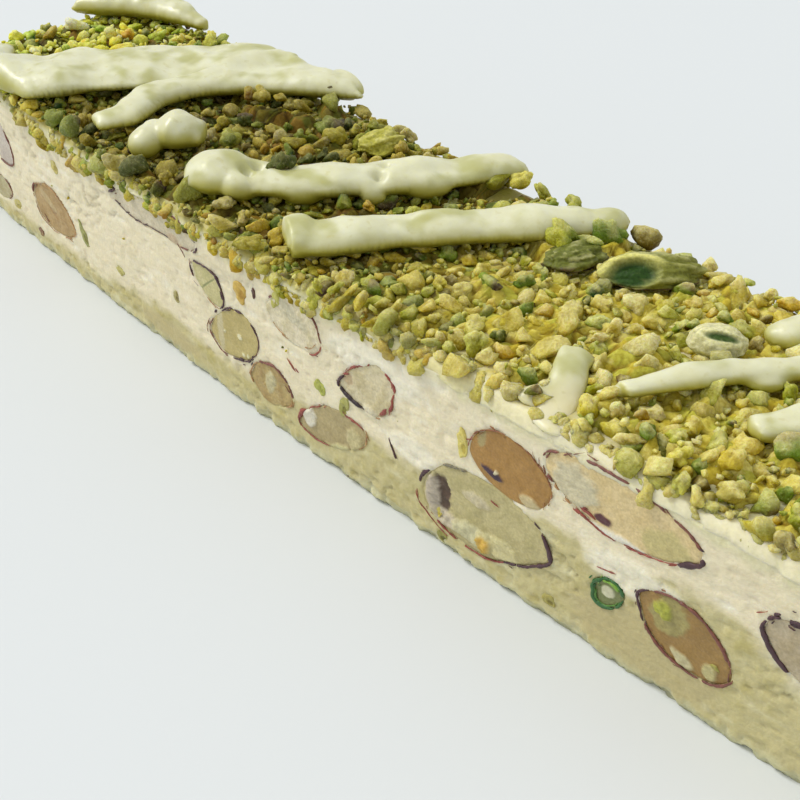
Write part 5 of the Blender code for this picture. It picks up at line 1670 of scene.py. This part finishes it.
class Ribbon:
    """A drizzle of the frame, with its own axis from its front end to its back end."""

    def __init__(self, name):
        self.name = name
        self.points = straighten(node_points(name))
        flat = self.points[:, :2]
        first, second, length = farthest(flat)
        if first[1] > second[1]:
            first, second = second, first
        self.along = (second - first) / length
        self.across = np.array([self.along[1], -self.along[0]])
        self.half = length / 2
        self.middle = (first + second) / 2
        self.base = self.points[:, 2].min()
        self.spine_t, self.spine_s = self.spine(flat - self.middle)

    def spine(self, flat):
        """Samples of the middle line: how far it strays from the straight axis."""
        t, s = flat @ self.along / self.half, flat @ self.across
        at = np.linspace(-1, 1, 9)
        near = [np.abs(t - value) < 0.25 for value in at]
        return at, np.array([(s[held].min() + s[held].max()) / 2 if held.any() else 0 for held in near])

    def local(self, points):
        """(t, s) of points of the straight bar."""
        flat = points[:, :2] - self.middle
        t = flat @ self.along / self.half
        return t, flat @ self.across - np.interp(t, self.spine_t, self.spine_s)

    def place(self, t, s):
        """Where (t, s) is, seen from above."""
        s = s + np.interp(t, self.spine_t, self.spine_s)
        return self.middle + t * self.half * self.along + s * self.across

    def stretch(self, points, share):
        """Makes points higher above the ribbon's base, by a share."""
        points[:, 2] = self.base + (points[:, 2] - self.base) * share


def with_blobs(ribbon, blobs):
    """The ribbon's own mesh and its blobs, in one mesh in millimetres of the straight bar."""
    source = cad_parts[ribbon.name].data
    source.calc_loop_triangles()
    own = np.array([list(triangle.vertices) for triangle in source.loop_triangles])
    points, faces, count = [ribbon.points], [own], len(ribbon.points)
    ball_points, ball_faces = BALLS[3]
    for t, s, lift, *half_sizes in blobs:
        shape = ball_points * half_sizes
        plan = shape[:, :1] * ribbon.along + shape[:, 1:2] * ribbon.across + ribbon.place(t, s)
        points.append(np.concatenate([plan, ribbon.base + lift + shape[:, 2:]], 1))
        faces.append(ball_faces + count)
        count += len(ball_points)
    return np.concatenate(points), np.concatenate(faces)


def merge(thing):
    """Merges an object's parts under one soft skin."""
    remesh = thing.modifiers.new("merge", "REMESH")
    remesh.mode = "VOXEL"
    remesh.voxel_size = VOXEL * MM
    smooth = thing.modifiers.new("soften", "SMOOTH")
    smooth.factor, smooth.iterations = SOFTENING
    bpy.context.view_layer.update()
    graph = bpy.context.evaluated_depsgraph_get()
    mesh = bpy.data.meshes.new_from_object(thing.evaluated_get(graph))
    thing.modifiers.clear()
    thing.data = mesh


def pour(ribbon, form, points, normals):
    """Swells and creases a merged ribbon, tapers its ends and drapes it over the bar's edges. Gives
    its new points and how melted it is at each."""
    t, s = ribbon.local(points)
    swollen = form.get("swell", SWELL) + 0.5 * layered(points, 6.5, 2, 80) + 0.2 * layered(points, 2.4, 2, 81)
    for lump_t, lump_s, size, height in form["lumps"]:
        away = ((t - lump_t) * ribbon.half / size) ** 2 + ((s - lump_s) / size) ** 2
        swollen = swollen + height * np.exp(-away)
    upward = step(-0.7, 0.1, normals[:, 2])
    points = points + normals * (swollen * (SAG + (1 - SAG) * upward))[:, None]
    front_end, back_end = form["taper"]
    left = 1 - (1 - front_end) * (1 - step(-1, -0.55, t)) - (1 - back_end) * step(0.6, 1, t)
    points[:, :2] -= (s * (1 - left))[:, None] * ribbon.across
    ribbon.stretch(points, 0.35 + 0.65 * left)
    ribbon.stretch(points, form.get("full", FULLER))
    points[:, 2] += 0.35 * layered(points * (1, 1, 0), 9, 2, 82)
    if "facet" in form:
        beyond = np.minimum(t - form["facet"] - END_SLANT * s, 0)
        points[:, :2] -= (0.93 * beyond * ribbon.half)[:, None] * ribbon.along
    y = points[:, 1]
    over = np.maximum(np.abs(y) - DRAPE_START, 0)
    points[:, 1] = np.sign(y) * (np.abs(y) - over + DRAPE * np.tanh(over / DRAPE))
    end, drop, thin = form.get("melt", (0, 0, 1))
    melted = (1 - step(-1, end, t)) * ("melt" in form)
    ribbon.stretch(points, 1 - (1 - thin) * melted)
    points[:, 2] -= drop * melted
    return points, melted


def drizzle_tints(points, normals, melted):
    """Painted light: pale lit tops, and yellower sides and feet that are painted shade with painted bounce
    light from the nuts; a cloudy mottle; and the coat's own colour where the ribbon melts into it."""
    cloud = layered(points, 4, 3, 83)
    tint = mix(DRIZZLE_LIT_TOP, DRIZZLE_CLOUD, step(-0.1, 0.5, cloud))
    # painted shade on the sides and feet, yellowed as painted bounce light from the nuts
    tint = mix(tint, DRIZZLE_SHADED_SIDE, 1 - step(0.15, 0.9, normals[:, 2] + 0.25 * cloud))
    tint = mix(tint, DRIZZLE_SHADED_FOOT, 1 - step(-0.5, 0.25, normals[:, 2] + 0.2 * cloud))
    return mix(tint, COAT_CREAM, step(0.3, 0.9, melted))


def chocolate_material():
    """White chocolate, smooth, cloudy and dusty in places."""
    look = Shader("white_chocolate_look", 0.34, subsurface=0.5, depth=1.8, radius=(1, 0.95, 0.4))
    cloud = look.noise(3.0, 3)
    dusty = look.ramp(look.noise(1.1, 5), 0.60, 0.7, 0.0, 0.3)
    look.colour(look.mix(dusty, look.tinted(look.shades(cloud, (246, 244, 232))), (196, 186, 112)))
    look.rough(look.ramp(cloud, 0.3, 0.7, 0.28, 0.44))
    look.bump(look.noise(0.8, 3), 0.04)
    return look.material


def add_drizzle():
    """Each drizzle from its node: merged with its blobs, softened, then swollen and creased."""
    material = chocolate_material()
    for name, form in POURED.items():
        ribbon = Ribbon(name)
        points, faces = with_blobs(ribbon, form.get("blobs", ()))
        thing = new_object(name + "_poured", points * MM, faces, material)
        merge(thing)
        mesh = thing.data
        points, normals = (np.empty(len(mesh.vertices) * 3) for _ in range(2))
        mesh.vertices.foreach_get("co", points)
        mesh.vertices.foreach_get("normal", normals)
        normals = normals.reshape(-1, 3)
        points, melted = pour(ribbon, form, points.reshape(-1, 3) / MM, normals)
        set_tint(mesh, drizzle_tints(points, normals, melted))
        mesh.vertices.foreach_set("co", settle(points).ravel())
        mesh.polygons.foreach_set("use_smooth", np.ones(len(mesh.polygons), bool))
        mesh.update()
        as_piece(thing, "white_chocolate", name)

# --------------------------------------------------------------------------- stage

FLOOR_HALF = 6.0               # half of the floor's side, metres
SKY_COLOUR, SKY_STRENGTH = (0.95, 0.98, 1.0, 1), 0.7
SUN_COLOUR, SUN_STRENGTH = (1.0, 0.985, 0.96), 1.9
SUN_SPREAD = 20                # how wide the sun is, degrees: soft shadows
SUN_WAY = (-0.62, -0.28, 0.73)      # from the bar to the sun
FOCAL_LENGTH, SENSOR_WIDTH = 58.5, 36         # of the camera, millimetres
CAMERA_PLACE = (0.1132, -0.1094, 0.1177)      # metres: above the near end, in front of the bar
CAMERA_PITCH, CAMERA_YAW = 37.245, -47.115    # how far it looks down, and its turn from +y, degrees


def add_floor():
    """A plain pale floor."""
    floor = Shader("floor", 0.75)
    floor.colour(floor.mix(floor.noise(400), (218, 222, 223), (221, 224, 224)))
    corners = np.array([(-1, -1, 0), (1, -1, 0), (1, 1, 0), (-1, 1, 0)]) * FLOOR_HALF
    new_object("floor", corners, np.array([[0, 1, 2, 3]]), floor.material)


def add_light():
    """A pale sky, and a soft sun over the far end, a little in front of the bar."""
    world = bpy.data.worlds.new("studio")
    bpy.context.scene.world = world
    world.use_nodes = True
    sky = world.node_tree.nodes["Background"]
    sky.inputs["Color"].default_value = SKY_COLOUR
    sky.inputs["Strength"].default_value = SKY_STRENGTH

    sun = bpy.data.lights.new("key", "SUN")
    sun.energy, sun.angle, sun.color = SUN_STRENGTH, math.radians(SUN_SPREAD), SUN_COLOUR
    lamp = bpy.data.objects.new("key", sun)
    lamp.rotation_euler = Vector(SUN_WAY).to_track_quat("Z", "Y").to_euler()
    bpy.context.scene.collection.objects.link(lamp)


def add_camera():
    """The camera looks down along the bar from above its near end."""
    lens = bpy.data.cameras.new("camera")
    lens.lens, lens.sensor_width, lens.clip_start = FOCAL_LENGTH, SENSOR_WIDTH, 0.01
    camera = bpy.data.objects.new("camera", lens)
    camera.location = CAMERA_PLACE
    pitch, yaw = math.radians(CAMERA_PITCH), math.radians(CAMERA_YAW)
    ahead = (math.sin(yaw) * math.cos(pitch), math.cos(yaw) * math.cos(pitch), -math.sin(pitch))
    camera.rotation_euler = Vector(ahead).to_track_quat("-Z", "Y").to_euler()
    bpy.context.scene.collection.objects.link(camera)
    bpy.context.scene.camera = camera
    bpy.context.scene.view_settings.view_transform = "Standard"


for build in (add_floor, add_light, add_camera, add_nougat, add_nuts, add_bits, add_coat, add_crumbs,
              add_core, add_kernels, add_drizzle):
    build()
